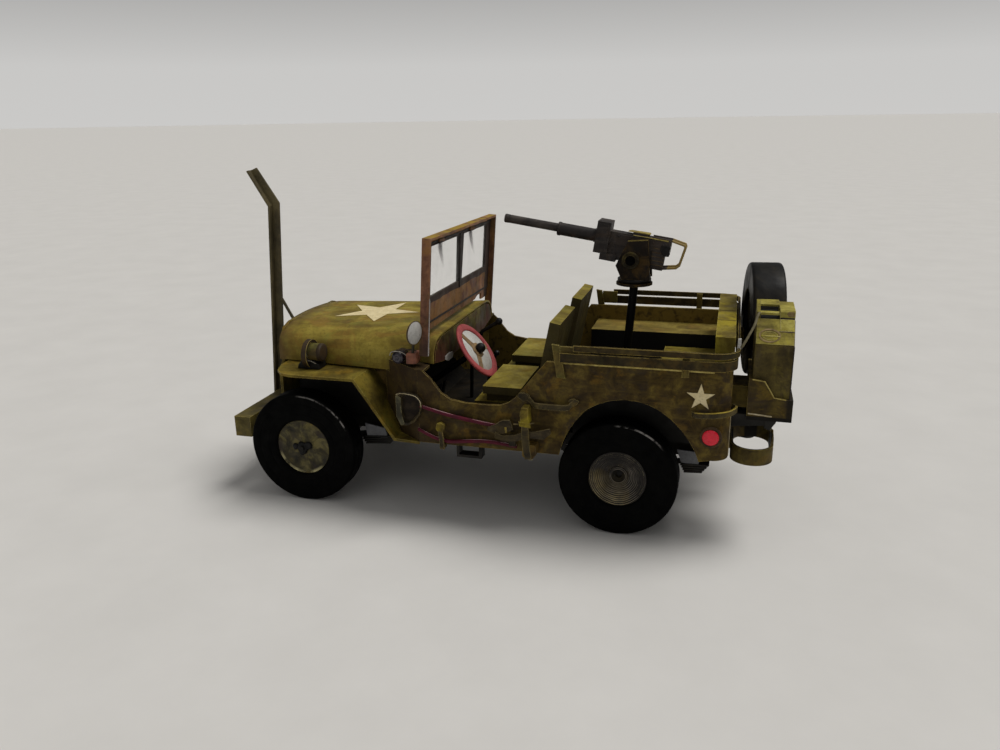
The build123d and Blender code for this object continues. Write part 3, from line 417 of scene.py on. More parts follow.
# undersides near black: painted shade under the bows
BOW = painted("bow_paint", (31, 25, 13), (50, 41, 22), (76, 64, 32), patch=(78, 60, 24), patch_mix=0.6,
              green=(54, 50, 26), edge=(178, 154, 78), edge_mix=0.95, edge_w=0.00024, edge_break=(0.32, 0.44), seed=4.4,
              mask=facing(2, -1.0), mask_col=(12, 11, 9), scale=1.8, spec=0.12)
CAN = painted("can_paint", (54, 46, 25), (79, 68, 35), (107, 95, 43), patch=(118, 106, 34), patch_mix=0.55,
              green=(76, 66, 50), edge=(166, 148, 80), edge_mix=0.85, seed=5.0, streak=(500, 500, 60), spec=0.12, scale=1.5)
CAN_TOP = painted("can_top_paint", (92, 82, 36), (130, 119, 50), (160, 149, 68), patch=(168, 157, 44),
                  patch_mix=0.6, green=(112, 98, 62), edge=(206, 194, 126), edge_mix=0.9, seed=5.4, dirt=0.5, scale=1.6, spec=0.12)
CAN_BAR = painted("can_bar_paint", (108, 97, 46), (146, 135, 60), (178, 168, 88), patch=(168, 157, 44), patch_mix=0.5,
                  edge=(226, 214, 160), edge_mix=0.95, edge_w=0.00022, seed=5.6, scale=1.6, spec=0.12)
PRESS = plain_noise("press_ring_paint", (108, 92, 56), (146, 126, 88), rough=(0.6, 0.8), scale=500, seed=5.5, spec=0.15)
YELLOW = painted("yellow_olive_paint", (84, 70, 28), (116, 98, 36), (142, 124, 50), patch=(158, 134, 30),
                 patch_mix=0.65, patch_at=(0.48, 0.58), edge=(196, 178, 96), edge_mix=0.9, seed=6.1, dirt=0.3,
                 scale=2.2)
STRAP = painted("strap_paint", (38, 33, 22), (58, 50, 31), (84, 73, 42), patch=(96, 76, 28), patch_mix=0.5,
                edge=(190, 170, 104), edge_mix=0.95, edge_w=0.00024, edge_break=(0.30, 0.42), seed=6.5, scale=2.0,
                spec=0.15)
LOOP = painted("loop_paint", (38, 30, 15), (60, 50, 24), (86, 74, 32), patch=(98, 76, 26), patch_mix=0.5, spec=0.12,
               edge=(164, 146, 76), edge_mix=0.9, seed=6.8, scale=1.6, mask=loop_inside_shade, mask_col=(18, 15, 11))
CHASSIS = painted("chassis_paint", (16, 14, 11), (26, 23, 18), (40, 36, 26), edge=(70, 62, 40), edge_mix=0.4,
                  seed=7.0, dirt=0.3)


def grip_end(m):
    """The wire grip behind the gun keeps its brass colour."""
    e = math.radians(9.0)
    return m.span(m.along((1.4, 0, 64.6), (math.cos(e), 0, math.sin(e))), -0.00925, -0.0094)


GUN = painted("gun_paint", (25, 22, 21), (42, 37, 35), (68, 61, 56), patch=(58, 43, 30), patch_mix=0.5,
              edge=(112, 102, 90), edge_mix=0.55, edge_w=0.00015, seed=8.0, streak=(60, 900, 900), streak_mix=0.5,
              spec=0.25, rough=(0.5, 0.72), dirt=0.3, scale=1.5, mask=grip_end, mask_col=(140, 118, 66))
# very dark, partly painted shade from the gun above
CRADLE = painted("cradle_paint", (14, 10, 8), (28, 20, 13), (50, 38, 20), patch=(84, 62, 22), patch_mix=0.5,
                 patch_at=(0.54, 0.64), green=(34, 20, 17), edge=(140, 112, 56), edge_mix=0.75, seed=8.8, scale=2.0,
                 dirt=0.4, spec=0.15)
CRADLE_RING = painted("cradle_ring_paint", (22, 18, 11), (44, 37, 20), (74, 64, 32), edge=(104, 90, 50), seed=8.4,
                      scale=3.0, dirt=0.5, spec=0.15)
# rear-facing faces half darker: painted shade
CUTTER = painted("cutter_paint", (56, 50, 34), (78, 70, 48), (102, 92, 62), edge=(140, 126, 82), edge_mix=0.6,
                 seed=9.2, streak=(500, 500, 40), mask=facing(0, -1.0), mask_col=(50, 44, 30), mask_mix=0.5)
STEEL_OLIVE = painted("tool_head_paint", (32, 27, 19), (52, 44, 30), (78, 67, 43), patch=(72, 60, 32),
                      edge=(160, 144, 96), edge_mix=0.85, edge_w=0.0002, seed=9.9, scale=2.4, spec=0.15)
STEP = painted("step_paint", (18, 17, 17), (30, 28, 27), (46, 43, 38), edge=(74, 68, 54), edge_mix=0.5, seed=10.1,
               scale=2.0, spec=0.15)
RING_BROWN = painted("reflector_ring_paint", (32, 23, 15), (54, 39, 23), (78, 60, 32), edge=(200, 178, 118),
                     edge_mix=0.95, edge_w=0.0003, edge_break=(0.3, 0.42), seed=10.6, scale=3.0, spec=0.2)
WIRE_PALE = plain_noise("wire_pale_paint", (120, 114, 104), (170, 164, 152), rough=(0.5, 0.7), scale=500, seed=11.2)
SILL = painted("grille_paint", (64, 53, 24), (90, 76, 34), (120, 104, 48), patch=(128, 98, 34), patch_mix=0.5,
               green=(86, 86, 36), edge=(186, 168, 96), edge_mix=0.9, seed=11.6, streak=(300, 300, 40), spec=0.15)
BLACK = plain_noise("black_wire", (6, 5, 5), (17, 15, 14), rough=(0.4, 0.65), spec=0.22)
POST = plain_noise("post_paint", (3, 3, 3), (9, 8, 8), rough=(0.5, 0.7), spec=0.12, edge=(34, 32, 29))
PALE = plain_noise("bare_card", (150, 146, 142), (188, 184, 178), rough=(0.75, 0.9), scale=180, grain=0.5)
DULL = plain_noise("bare_inner_card", (92, 92, 94), (120, 120, 122), rough=(0.75, 0.9), scale=180, grain=0.5, seed=0.8)
CREAM = plain_noise("star_paint", (206, 188, 142), (226, 211, 168), rough=(0.6, 0.8), scale=420, grain=0.45,
                    edge=(168, 152, 96), edge_w=0.0003, edge_mix=0.8, seed=0.5)
SEAL = plain_noise("seal_paint", (32, 27, 25), (52, 45, 40), rough=(0.6, 0.8), scale=500, seed=1.1)
LAMP_BACK = plain_noise("lamp_back_dark_paint", (34, 25, 15), (58, 43, 24), rough=(0.55, 0.75), scale=300, seed=5.9)
PINK = plain_noise("wheel_rim_paint", (132, 50, 54), (170, 78, 76), rough=(0.5, 0.7), scale=320, seed=2.0,
                   edge=(176, 104, 84), edge_mix=0.5)
TAN = plain_noise("spoke_paint", (96, 74, 50), (148, 120, 80), rough=(0.55, 0.75), scale=420, seed=2.6,
                  edge=(176, 152, 110))
WHITE = plain_noise("white_card", (178, 176, 171), (204, 202, 196), rough=(0.65, 0.8), scale=260, grain=0.4, seed=3.0)
MAGENTA = plain_noise("handle_paint", (46, 4, 18), (96, 11, 38), rough=(0.45, 0.65), scale=200, seed=3.3, spec=0.22)
HANDLE_TOP = plain_noise("handle_light", (168, 120, 124), (214, 186, 184), rough=(0.5, 0.7), scale=300, seed=3.7)
RED = plain_noise("reflector_paint", (198, 6, 34), (230, 14, 50), rough=(0.25, 0.45), scale=500, spec=0.5, seed=4.1)
MIRROR = plain_noise("mirror_foil", (156, 154, 150), (184, 182, 178), rough=(0.22, 0.4), scale=260, spec=0.6,
                     grain=0.2, seed=4.5, edge=(120, 112, 100), edge_w=0.0002)
BOSS = plain_noise("boss_paint", (14, 12, 15), (58, 52, 62), rough=(0.2, 0.4), scale=900, spec=0.7, seed=4.9,
                   metallic=0.2)
BRICK = plain_noise("block_paint", (92, 52, 40), (138, 88, 66), rough=(0.5, 0.7), scale=500, seed=5.3,
                    edge=(160, 124, 98))
BROWN = plain_noise("lamp_back_paint", (48, 35, 22), (76, 58, 34), rough=(0.5, 0.7), scale=380, seed=5.8,
                    edge=(128, 106, 62))
GREYLINE = plain_noise("wiper_grey", (134, 130, 130), (164, 160, 160), rough=(0.6, 0.8), scale=600, seed=6.2)
DIMLINE = plain_noise("dim_rub_paint", (72, 62, 38), (122, 108, 74), rough=(0.6, 0.8), scale=500, seed=7.1, spec=0.12)
CLAMP = painted("clamp_paint", (72, 60, 24), (106, 91, 32), (140, 124, 46), patch=(156, 140, 34), patch_mix=0.6,
                green=(62, 52, 28), edge=(196, 176, 112), edge_mix=0.85, seed=6.3, scale=2.4, spec=0.12)
CLAMP_LOW = painted("clamp_low_paint", (50, 38, 18), (80, 62, 26), (112, 90, 38), patch=(128, 102, 30), patch_mix=0.5,
                    green=(48, 38, 24), edge=(196, 180, 132), edge_mix=0.9, seed=6.4, scale=2.4, spec=0.12)
GOLDLINE = plain_noise("lip_paint", (96, 82, 38), (166, 147, 76), rough=(0.6, 0.8), scale=500, seed=6.9)
LAMP = painted("lamp_drum_paint", (62, 58, 26), (88, 82, 36), (112, 104, 48), patch=(84, 60, 34), patch_mix=0.5,
               edge=(190, 172, 100), edge_mix=0.9, seed=6.6, scale=2.4)


def tyre_material(name, cx, cz, R, face_y, seed, sheen_rubs=()):
    """Black painted rolled card. Fine rings on the side faces, and grey on the shoulder: rubbed paint, with painted
    highlight arcs.
    """
    m = Mat(name)
    co = m.place(off=(seed, seed * 0.6, seed))
    a = m.noise(160, 5, 0.65, 0.5, co)
    col = m.ramp(a, [(0.3, rgb(2, 2, 2)), (0.7, rgb(7, 7, 6))])
    rad = m.radius_y(cx, cz)
    rings = m.math("SINE", m.math("MULTIPLY", rad, 2 * math.pi / 0.00042))
    ring_n = m.noise(900, 2, 0.5, 0.0, co)
    # shoulder wear with painted sheen: near the outer radius, in arcs
    near = m.span(rad, (R - 1.25) * 0.001, (R - 0.55) * 0.001)
    arc = m.noise(46, 3, 0.6, 0.2, m.place(off=(seed + 0.31, seed, seed + 0.77)))
    edge = m.edges(0.0004, 0.02, 0.12)
    wear_and_sheen = m.math("MULTIPLY", m.math("MULTIPLY", near, edge), m.span(arc, 0.50, 0.64))
    col = m.mix(m.math("MULTIPLY", wear_and_sheen, 0.8), col, rgb(130, 126, 124))
    # painted highlight: longer pale arcs on the shoulder line, each around one direction from the axle
    c = D(cx, 0, cz)
    xs = m.xyz()
    line = m.math("MULTIPLY", m.span(rad, (R - 0.98) * 0.001, (R - 0.86) * 0.001), m.span(rad, (R - 0.42) * 0.001, (R - 0.6) * 0.001))
    brk = m.span(m.noise(620, 3, 0.6, 0.0, co), 0.38, 0.58)
    for ux, uz, lo, hi, amt in sheen_rubs:
        dot = m.math("DIVIDE", m.math("ADD", m.math("MULTIPLY", m.math("SUBTRACT", xs[0], c.x), ux),
                                      m.math("MULTIPLY", m.math("SUBTRACT", xs[2], c.z), uz)), rad)
        f = m.math("MULTIPLY", m.math("MULTIPLY", line, m.span(dot, lo, hi)), brk)
        col = m.mix(m.math("MULTIPLY", f, amt), col, rgb(150, 146, 142))
    sp = m.noise(1900, 2, 0.5, 0.0, co)
    dust = m.math("MULTIPLY", m.span(sp, 0.56, 0.76), 0.3)
    col = m.mix(dust, col, rgb(16, 15, 15))
    r = m.span(m.noise(380, 3, 0.5, 0.0, co), 0.3, 0.7, 0.55, 0.78)
    n = m.bump(rings, 0.16, 0.00004)
    n = m.bump(m.noise(2300, 3, 0.6, 0.0, co), 0.3, 0.00006, n)
    n = m.bump(a, 0.25, 0.0003, n)
    return m.finish(col, r, n, 0.04)


def rim_material(name, cx, cz, seed, front):
    m = Mat(name)
    co = m.place(off=(seed, seed * 0.6, seed))
    a = m.noise(230, 5, 0.65, 0.6, co)
    if front:
        col = m.ramp(a, [(0.36, rgb(30, 27, 17)), (0.5, rgb(62, 56, 33)), (0.64, rgb(104, 95, 54))])
        st = m.noise(190, 5, 0.65, 1.2, m.place(off=(seed, 3.3, 1.0)))
        col = m.mix(m.math("MULTIPLY", m.span(st, 0.52, 0.60), 0.6), col, rgb(44, 34, 29))
    else:
        col = m.ramp(a, [(0.34, rgb(20, 18, 16)), (0.5, rgb(37, 33, 30)), (0.66, rgb(64, 58, 51))])
    rad = m.radius_y(cx, cz)
    # rubbed paper layers, brighter in places
    rad2 = m.math("ADD", rad, m.math("MULTIPLY", m.math("SUBTRACT", m.noise(260, 3, 0.5, 0.0, co), 0.5), 0.00035))
    lay = m.math("SINE", m.math("MULTIPLY", rad2, 2 * math.pi / 0.00042))
    lw = m.math("MULTIPLY", m.span(lay, 0.2, 1.0), m.span(m.noise(90, 3, 0.6, 0.0, co), 0.46, 0.60))
    col = m.mix(m.math("MULTIPLY", lw, 0.0 if front else 0.65), col, rgb(126, 118, 104))
    gap = m.math("MULTIPLY", m.span(lay, -0.4, -1.0), 0.0 if front else 0.7)
    col = m.mix(gap, col, rgb(20, 17, 14))
    # painted highlight: the side of the rim towards the ground and the nose is lighter, in the colour of the bare
    # layers
    c = D(cx, 0, cz)
    xs = m.xyz()
    ux, uz = (0.25, -0.97) if front else (0.6, -0.8)
    dot = m.math("DIVIDE", m.math("ADD", m.math("MULTIPLY", m.math("SUBTRACT", xs[0], c.x), ux),
                                  m.math("MULTIPLY", m.math("SUBTRACT", xs[2], c.z), uz)), m.math("MAXIMUM", rad, 0.0005))
    brk = m.span(m.noise(300, 4, 0.65, 0.4, co), 0.40, 0.60)
    if front:
        low = m.math("MULTIPLY", m.math("MULTIPLY", m.span(rad, 0.0066, 0.0074), m.span(dot, 0.35, 0.8)), brk)
        col = m.mix(m.math("MULTIPLY", low, 0.8), col, rgb(196, 186, 138))
    else:
        low = m.math("MULTIPLY", m.math("MULTIPLY", m.span(rad, 0.0034, 0.0056), m.span(dot, 0.1, 0.85)), m.span(lay, -0.2, 0.8))
        col = m.mix(m.math("MULTIPLY", m.math("MULTIPLY", low, m.span(brk, 0.0, 1.0, 0.45, 1.0)), 0.65), col, rgb(172, 154, 108))
        # painted shade: the hub's bore near black
        col = m.mix(m.span(rad, 0.00172, 0.0015), col, rgb(7, 6, 6))
    e = m.math("MULTIPLY", m.edges(0.00022), m.span(m.noise(340, 3, 0.6, 0.0, co), 0.36, 0.55))
    col = m.mix(m.math("MULTIPLY", e, 0.9), col, rgb(200, 188, 146))
    gold = m.span(m.noise(95, 3, 0.6, 0.6, m.place(off=(seed + 2, 1, 0))), 0.56, 0.68)
    col = m.mix(m.math("MULTIPLY", gold, 0.8 if front else 0.1), col, rgb(138, 116, 44))
    stain = m.span(m.noise(320, 4, 0.6, 1.0, co), 0.6, 0.74)
    col = m.mix(m.math("MULTIPLY", stain, 0.45), col, rgb(44, 38, 32))
    r = m.span(m.noise(500, 3, 0.5, 0.0, co), 0.3, 0.7, 0.55, 0.8)
    n = m.bump(lay, 0.0 if front else 0.35, 0.00006)
    n = m.bump(m.noise(2200, 3, 0.6, 0.0, co), 0.35, 0.00006, n)
    n = m.bump(a, 0.3, 0.0003, n)
    return m.finish(col, r, n, 0.3)


def film_material():
    """Thin clear film with faint smears."""
    m = Mat("clear_film")
    s = m.noise(140, 4, 0.6, 0.8)
    r = m.span(s, 0.35, 0.7, 0.04, 0.16)
    m.put(m.b.inputs["Base Color"], m.ramp(s, [(0.3, rgb(232, 234, 232)), (0.7, rgb(214, 216, 212))]))
    m.put(m.b.inputs["Roughness"], r)
    m.put(m.b.inputs["Alpha"], m.span(s, 0.4, 0.75, 0.05, 0.13))
    m.b.inputs["Specular IOR Level"].default_value = 0.35
    m.link(m.bump(s, 0.15, 0.0002), m.b.inputs["Normal"])
    return m.m


FILM = film_material()

# ---------------------------------------------------------------- materials on the CAD nodes
ON_NODE = {
    BODY: ["body_side_left", "body_side_right", "tail_panel"],
    TRAY: ["rear_carriers"],
    STEP: ["sill_strap"],
    SILL: ["grille", "bow_sockets"],
    BONNET: ["bonnet"],
    COWL: ["cowl"],
    DASH: ["dashboard"],
    FENDER: ["fender_left", "fender_right"],
    BUMPER: ["front_bumper"],
    LOOP: ["bumperettes"],
    BOXES: ["wheel_boxes"],
    FLOOR_SHADE: ["floor", "bulkhead"],
    SEATS: ["seat_driver", "seat_passenger"],
    TAIL: ["rear_seat"],
    SCREEN: ["windscreen_frame"],
    BOW: ["top_bows"],
    CAN: ["fuel_can"],
    STRAP: ["body_handles", "tool_clamps"],
    CHASSIS: ["axle_front", "axle_rear", "knuckles", "leaf_springs", "drive_shafts", "frame_rails", "exhaust",
              "engine_block", "radiator", "tow_hook"],
    GUN: ["gun"],
    CRADLE: ["gun_cradle"],
    POST: ["gun_post"],
    BLACK: ["controls"],
    CUTTER: ["wire_cutter"],
    BROWN: ["grille_lamps", "reflectors", "drive_lamp", "spare_rim"],
    FILM: ["windscreen_glass"],
    STEEL_OLIVE: ["shovel", "axe"],
    TAN: ["steering_wheel", "side_mirror"],
}


def dress(node, mat):
    ob = NODES[node]
    if not ob.material_slots:
        ob.data.materials.append(mat)
    for s in ob.material_slots:
        s.material = mat


for mat, names in ON_NODE.items():
    for n in names:
        dress(n, mat)

BODY_OF = {n: b for b, ns in frame["record"]["behaviour"]["bodies"].items() for n in ns}
SLOT_OF = {s["node"]: s["material_slot"] for s in frame["record"]["subparts"]}


# ---------------------------------------------------------------- mesh helpers
def piece(name, verts, faces, mat, body="car", slot="body_card", smooth=False, bevel=0.0, segs=2, auto=None):
    me = bpy.data.meshes.new(name)
    me.from_pydata([tuple(v) for v in verts], [], faces)
    bm = bmesh.new()
    bm.from_mesh(me)
    bmesh.ops.remove_doubles(bm, verts=bm.verts, dist=1e-7)
    bmesh.ops.recalc_face_normals(bm, faces=bm.faces)
    bm.to_mesh(me)
    bm.free()
    ob = bpy.data.objects.new(name, me)
    scene.collection.objects.link(ob)
    me.materials.append(mat)
    if smooth:
        for p in me.polygons:
            p.use_smooth = True
    if bevel:
        b = ob.modifiers.new("edge", "BEVEL")
        b.width = bevel * 0.001
        b.segments = segs
        b.limit_method = "ANGLE"
        b.angle_limit = math.radians(35)
        b.harden_normals = False
    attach(ob, body)
    return ob


def slab(name, pts, at, mat, bevel=0.08, **kw):
    """A flat card piece. pts are (a, b) outline points; at(a, b, t) gives the design point, t = 0 or 1."""
    n = len(pts)
    v = [D(*at(a, b, 0)) for a, b in pts] + [D(*at(a, b, 1)) for a, b in pts]
    f = [list(range(n))[::-1], list(range(n, 2 * n))]
    f += [[i, (i + 1) % n, n + (i + 1) % n, n + i] for i in range(n)]
    return piece(name, v, f, mat, bevel=bevel, **kw)


def strip(name, outline, inner, at, mat, bevel=0.05, **kw):
    """A flat frame between two outlines with the same number of points."""
    n = len(outline)
    v = [D(*at(a, b, 0)) for a, b in outline] + [D(*at(a, b, 0)) for a, b in inner]
    v += [D(*at(a, b, 1)) for a, b in outline] + [D(*at(a, b, 1)) for a, b in inner]
    f = []
    for i in range(n):
        j = (i + 1) % n
        f.append([i, j, n + j, n + i])
        f.append([2 * n + i, 3 * n + i, 3 * n + j, 2 * n + j])
        f.append([i, 2 * n + i, 2 * n + j, j])
        f.append([n + i, n + j, 3 * n + j, 3 * n + i])
    return piece(name, v, f, mat, bevel=bevel, **kw)


def smooth_line(pts, per=8):
    """Catmull-Rom through the design points."""
    p = [Vector(q) for q in pts]
    p = [p[0] * 2 - p[1]] + p + [p[-1] * 2 - p[-2]]
    out = []
    for i in range(1, len(p) - 2):
        for k in range(per):
            t = k / per
            a, b, c, d = p[i - 1], p[i], p[i + 1], p[i + 2]
            out.append(0.5 * ((2 * b) + (c - a) * t + (2 * a - 5 * b + 4 * c - d) * t * t
                              + (3 * b - a - 3 * c + d) * t ** 3))
    out.append(p[-2])
    return out


def tube(name, pts, r, mat, per=8, ring=12, flat=1.0, caps=True, round_line=True, **kw):
    """A solid wire or dowel along the points; r is a radius or a function of 0..1."""
    line = smooth_line(pts, per) if round_line else [Vector(q) for q in pts]
    n = len(line)
    rad = r if callable(r) else (lambda t: r)
    verts, faces = [], []
    up = None
    for i, p in enumerate(line):
        d = (line[min(i + 1, n - 1)] - line[max(i - 1, 0)]).normalized()
        if up is None:
            up = Vector((0, 0, 1)) if abs(d.z) < 0.9 else Vector((1, 0, 0))
        side = d.cross(up).normalized()
        up = side.cross(d).normalized()
        for k in range(ring):
            a = 2 * math.pi * k / ring
            q = p + side * (math.cos(a) * rad(i / (n - 1)) * flat) + up * (math.sin(a) * rad(i / (n - 1)))
            verts.append(D(*q))
    for i in range(n - 1):
        for k in range(ring):
            l = (k + 1) % ring
            faces.append([i * ring + k, i * ring + l, (i + 1) * ring + l, (i + 1) * ring + k])
    if caps:
        faces.append(list(range(ring))[::-1])
        faces.append([(n - 1) * ring + k for k in range(ring)])
    return piece(name, verts, faces, mat, smooth=True, **kw)


def lathe(name, prof, centre, axis, mat, segs=96, wob=0.0, seed=0.0, closed=True, **kw):
    """Turns (radius, along) points about an axis: centre is a design point, axis a unit vector."""
    ax = Vector(axis).normalized()
    e1 = (Vector((0, 0, 1)) if abs(ax.z) < 0.9 else Vector((1, 0, 0)))
    e1 = (e1 - ax * e1.dot(ax)).normalized()
    e2 = ax.cross(e1)
    c = Vector(centre)
    verts, faces = [], []
    m = len(prof)
    for s in range(segs):
        a = 2 * math.pi * s / segs
        d = e1 * math.cos(a) + e2 * math.sin(a)
        for r, t in prof:
            k = 0.0
            if wob:
                k = -wob * (0.5 + 0.5 * noise.noise(Vector((math.cos(a) * 1.6 + seed, math.sin(a) * 1.6, t * 0.12))))
            verts.append(D(*(c + d * max(r + k, 0.0) + ax * t)))
    for s in range(segs):
        q = (s + 1) % segs
        for i in range(m if closed else m - 1):
            j = (i + 1) % m
            faces.append([s * m + i, q * m + i, q * m + j, s * m + j])
    ob = piece(name, verts, faces, mat, smooth=True, **kw)
    for e in ob.data.edges:
        pass
    return ob


def star_points(cx, cy, r, turn, ratio=0.382):
    out = []
    for i in range(10):
        a = turn + math.pi * i / 5
        q = r if i % 2 == 0 else r * ratio
        out.append((cx + q * math.cos(a), cy + q * math.sin(a)))
    return out


def skin_star(name, pts, surface, thick, cuts, body="car"):
    """A star cut from paper that follows a surface: surface(a, b, t) gives the design point."""
    cx = sum(p[0] for p in pts) / len(pts)
    cy = sum(p[1] for p in pts) / len(pts)
    bm = bmesh.new()
    vs = [bm.verts.new((a, b, 0)) for a, b in pts]
    c = bm.verts.new((cx, cy, 0))
    for i in range(len(vs)):
        bm.faces.new((c, vs[i], vs[(i + 1) % len(vs)]))
    bmesh.ops.subdivide_edges(bm, edges=bm.edges[:], cuts=cuts, use_grid_fill=True)
    flat = [(v.co.x, v.co.y) for v in bm.verts]
    bm.verts.ensure_lookup_table()
    tris = [[v.index for v in f.verts] for f in bm.faces]
    bm.verts.index_update()
    tris = [[v.index for v in f.verts] for f in bm.faces]
    border = [(e.verts[0].index, e.verts[1].index) for e in bm.edges if e.is_boundary]
    bm.free()
    n = len(flat)
    verts = [D(*surface(a, b, 0.0)) for a, b in flat] + [D(*surface(a, b, thick)) for a, b in flat]
    faces = [t[::-1] for t in tris] + [[i + n for i in t] for t in tris]
    faces += [[a, b, b + n, a + n] for a, b in border]
    return piece(name, verts, faces, CREAM, body=body, slot="body_card")


# ---------------------------------------------------------------- tyres and rims
def tyre_profile(R, y0, y1, rr):
    """Rolled card tyre from the bore round the outer face, tread and inner face; (radius, y)."""
    p = [(rr, y0 + 0.9), (rr, y1 - 0.5)]
    # outer face: soft rings left by the rolled layers
    r0, r1 = rr + 0.5, R - 1.0
    n = 11
    for i in range(n + 1):
        r = r0 + (r1 - r0) * i / n
        h = y1 - 0.02 - (0.12 if i == 0 else 0.0)
        if 0 < i < n and i in (3, 8):
            p += [(r - 0.16, h), (r, h - 0.09), (r + 0.16, h)]
        else:
            p.append((r, h - 0.02 * (i % 2)))
    # shoulder
    for k in range(1, 6):
        a = math.pi / 2 * k / 6
        p.append((R - 0.75 + 0.72 * math.sin(a), y1 - 0.72 + 0.7 * math.cos(a)))
    # tread: flat with two shallow joints of the card strips
    w = y1 - y0
    p += [(R, y1 - 0.85), (R, y0 + w * 0.66), (R - 0.03, y0 + w * 0.65), (R, y0 + w * 0.64),
          (R, y0 + w * 0.35), (R - 0.03, y0 + w * 0.34), (R, y0 + w * 0.33), (R, y0 + 0.85)]
    for k in range(1, 6):
        a = math.pi / 2 * k / 6
        p.append((R - 0.75 + 0.72 * math.cos(a), y0 + 0.72 - 0.7 * math.sin(a)))
    for i in range(6):
        r = r1 - (r1 - r0) * i / 5
        p.append((r, y0 + 0.02 + 0.02 * (i % 2)))
    p.append((rr + 0.3, y0 + 0.2))
    return p


def rear_rim_profile(rr, y0, y1):
    """Dished rim built of rolled card rings; from the bore at the back to the bore in front."""
    p = [(0.87, y0 + 1.5), (rr - 0.05, y0 + 1.5), (rr - 0.02, y1 - 0.75)]
    rings = 8
    r_out, r_in = rr - 0.1, 2.45
    y_out, y_in = y1 - 0.72, y1 - 3.1
    for i in range(rings):
        t0, t1 = i / rings, (i + 1) / rings
        ra, rb = r_out + (r_in - r_out) * t0, r_out + (r_in - r_out) * t1
        ya = y_out + (y_in - y_out) * t0 ** 1.15
        w = ra - rb
        p += [(ra - w * 0.12, ya + 0.02), (ra - w * 0.38, ya + 0.03), (ra - w * 0.66, ya - 0.05),
              (ra - w * 0.84, ya - 0.26), (ra - w * 0.96, ya - 0.30)]
    # hub: a short rolled tube with an open end
    p += [(2.4, y_in - 0.05), (2.36, y1 - 2.62), (1.9, y1 - 2.6), (1.75, y1 - 2.66), (1.55, y1 - 3.3), (0.9, y1 - 3.4)]
    return p


def front_rim_profile(rr, y0, y1):
    p = [(0.87, y0 + 1.5), (rr - 0.05, y0 + 1.5), (rr - 0.02, y1 - 0.75), (rr - 0.25, y1 - 0.68),
         (rr - 0.5, y1 - 0.8), (rr - 0.7, y1 - 0.82), (rr - 1.3, y1 - 0.72), (5.0, y1 - 0.66), (3.9, y1 - 0.62),
         (3.6, y1 - 0.68), (3.3, y1 - 0.6), (2.7, y1 - 0.56), (2.5, y1 - 0.52), (0.87, y1 - 0.5)]
    return p


SHEEN_RUBS = {"front": ((-0.79, 0.61, 0.93, 0.985, 0.7), (-0.25, 0.97, 0.95, 0.99, 0.45)),
        "rear": ((-0.3, 0.95, 0.92, 0.98, 0.75), (-0.62, 0.78, 0.97, 0.995, 0.5))}
WHEELS = [("front", 85.2, 15.4, 23.2, 29.7, 7.7), ("rear", 0.0, 14.8, 22.5, 29.0, 7.2)]
for tag, x, R, y0, y1, rr in WHEELS:
    for side, s in (("left", 1.0), ("right", -1.0)):
        seed = 1.0 * len(tag) + (0 if s > 0 else 5.3)
        body = "wheel_%s_%s" % (tag, side)
        c, ax = (x, 0.0, R), (0, s, 0)
        t = lathe("tyre_%s_%s_rolled" % (tag, side), tyre_profile(R - 0.01, y0, y1, rr + 0.02), c, ax,
                  tyre_material("tyre_%s_%s_paint" % (tag, side), x, R, R, y1, seed, SHEEN_RUBS[tag]), segs=128, wob=0.05, seed=seed,
                  body=body, slot="tyre_card")
        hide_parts("tyre_%s_%s" % (tag, side))
        rm = rim_material("rim_%s_%s_paint" % (tag, side), x, R, seed, tag == "front")
        prof = front_rim_profile(rr, y0, y1) if tag == "front" else rear_rim_profile(rr, y0, y1)
        w = lathe("rim_%s_%s_rolled" % (tag, side), prof, c, ax, rm, segs=96, body=body, slot="rim_card")
        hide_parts("rim_%s_%s" % (tag, side))
        if tag == "front":
            # black glue and washer at the hub
            rnd = random.Random(int(seed * 10))
            blob = [(0.88, y1 - 0.5), (2.1, y1 - 0.5), (2.05, y1 - 0.2), (1.7, y1 + 0.12), (1.2, y1 + 0.28),
                    (0.88, y1 + 0.28)]
            lathe("hub_front_%s" % side, blob, c, ax, BLACK, segs=40, wob=0.7, seed=seed, body=body, slot="rim_card")
            knot = [(0.02, y1 - 0.5), (1.05, y1 - 0.5), (1.0, y1 - 0.1), (0.7, y1 + 0.1), (0.02, y1 + 0.14)]
            for k, (dx, dz, ks) in enumerate(((2.1, 0.2, 1.0), (-1.7, 0.75, 1.15), (0.4, -1.5, 0.8))):
                lathe("hub_knot_%s_%d" % (side, k + 1), [(r * ks, t) for r, t in knot], (x + dx, 0.0, R + dz), ax, BLACK,
                      segs=24, wob=0.3, seed=seed + k, closed=False, body=body, slot="rim_card")
        else:
            ring = [(1.6, y1 - 2.9), (2.32, y1 - 2.9), (2.3, y1 - 2.5), (2.05, y1 - 2.42), (1.7, y1 - 2.5)]
            lathe("hub_rear_%s" % side, ring, c, ax, rm, segs=48, body=body, slot="rim_card")

# spare wheel on the tail, turned five degrees
SPC, YAW = (-32.4, -9.6, 48.0), math.radians(5.0)
ax = (math.cos(YAW), math.sin(YAW), 0.0)
h = 4.1
sp = [q for q in tyre_profile(14.88, -h, h, 7.52) if not (14.8 < q[0] < 14.86)]
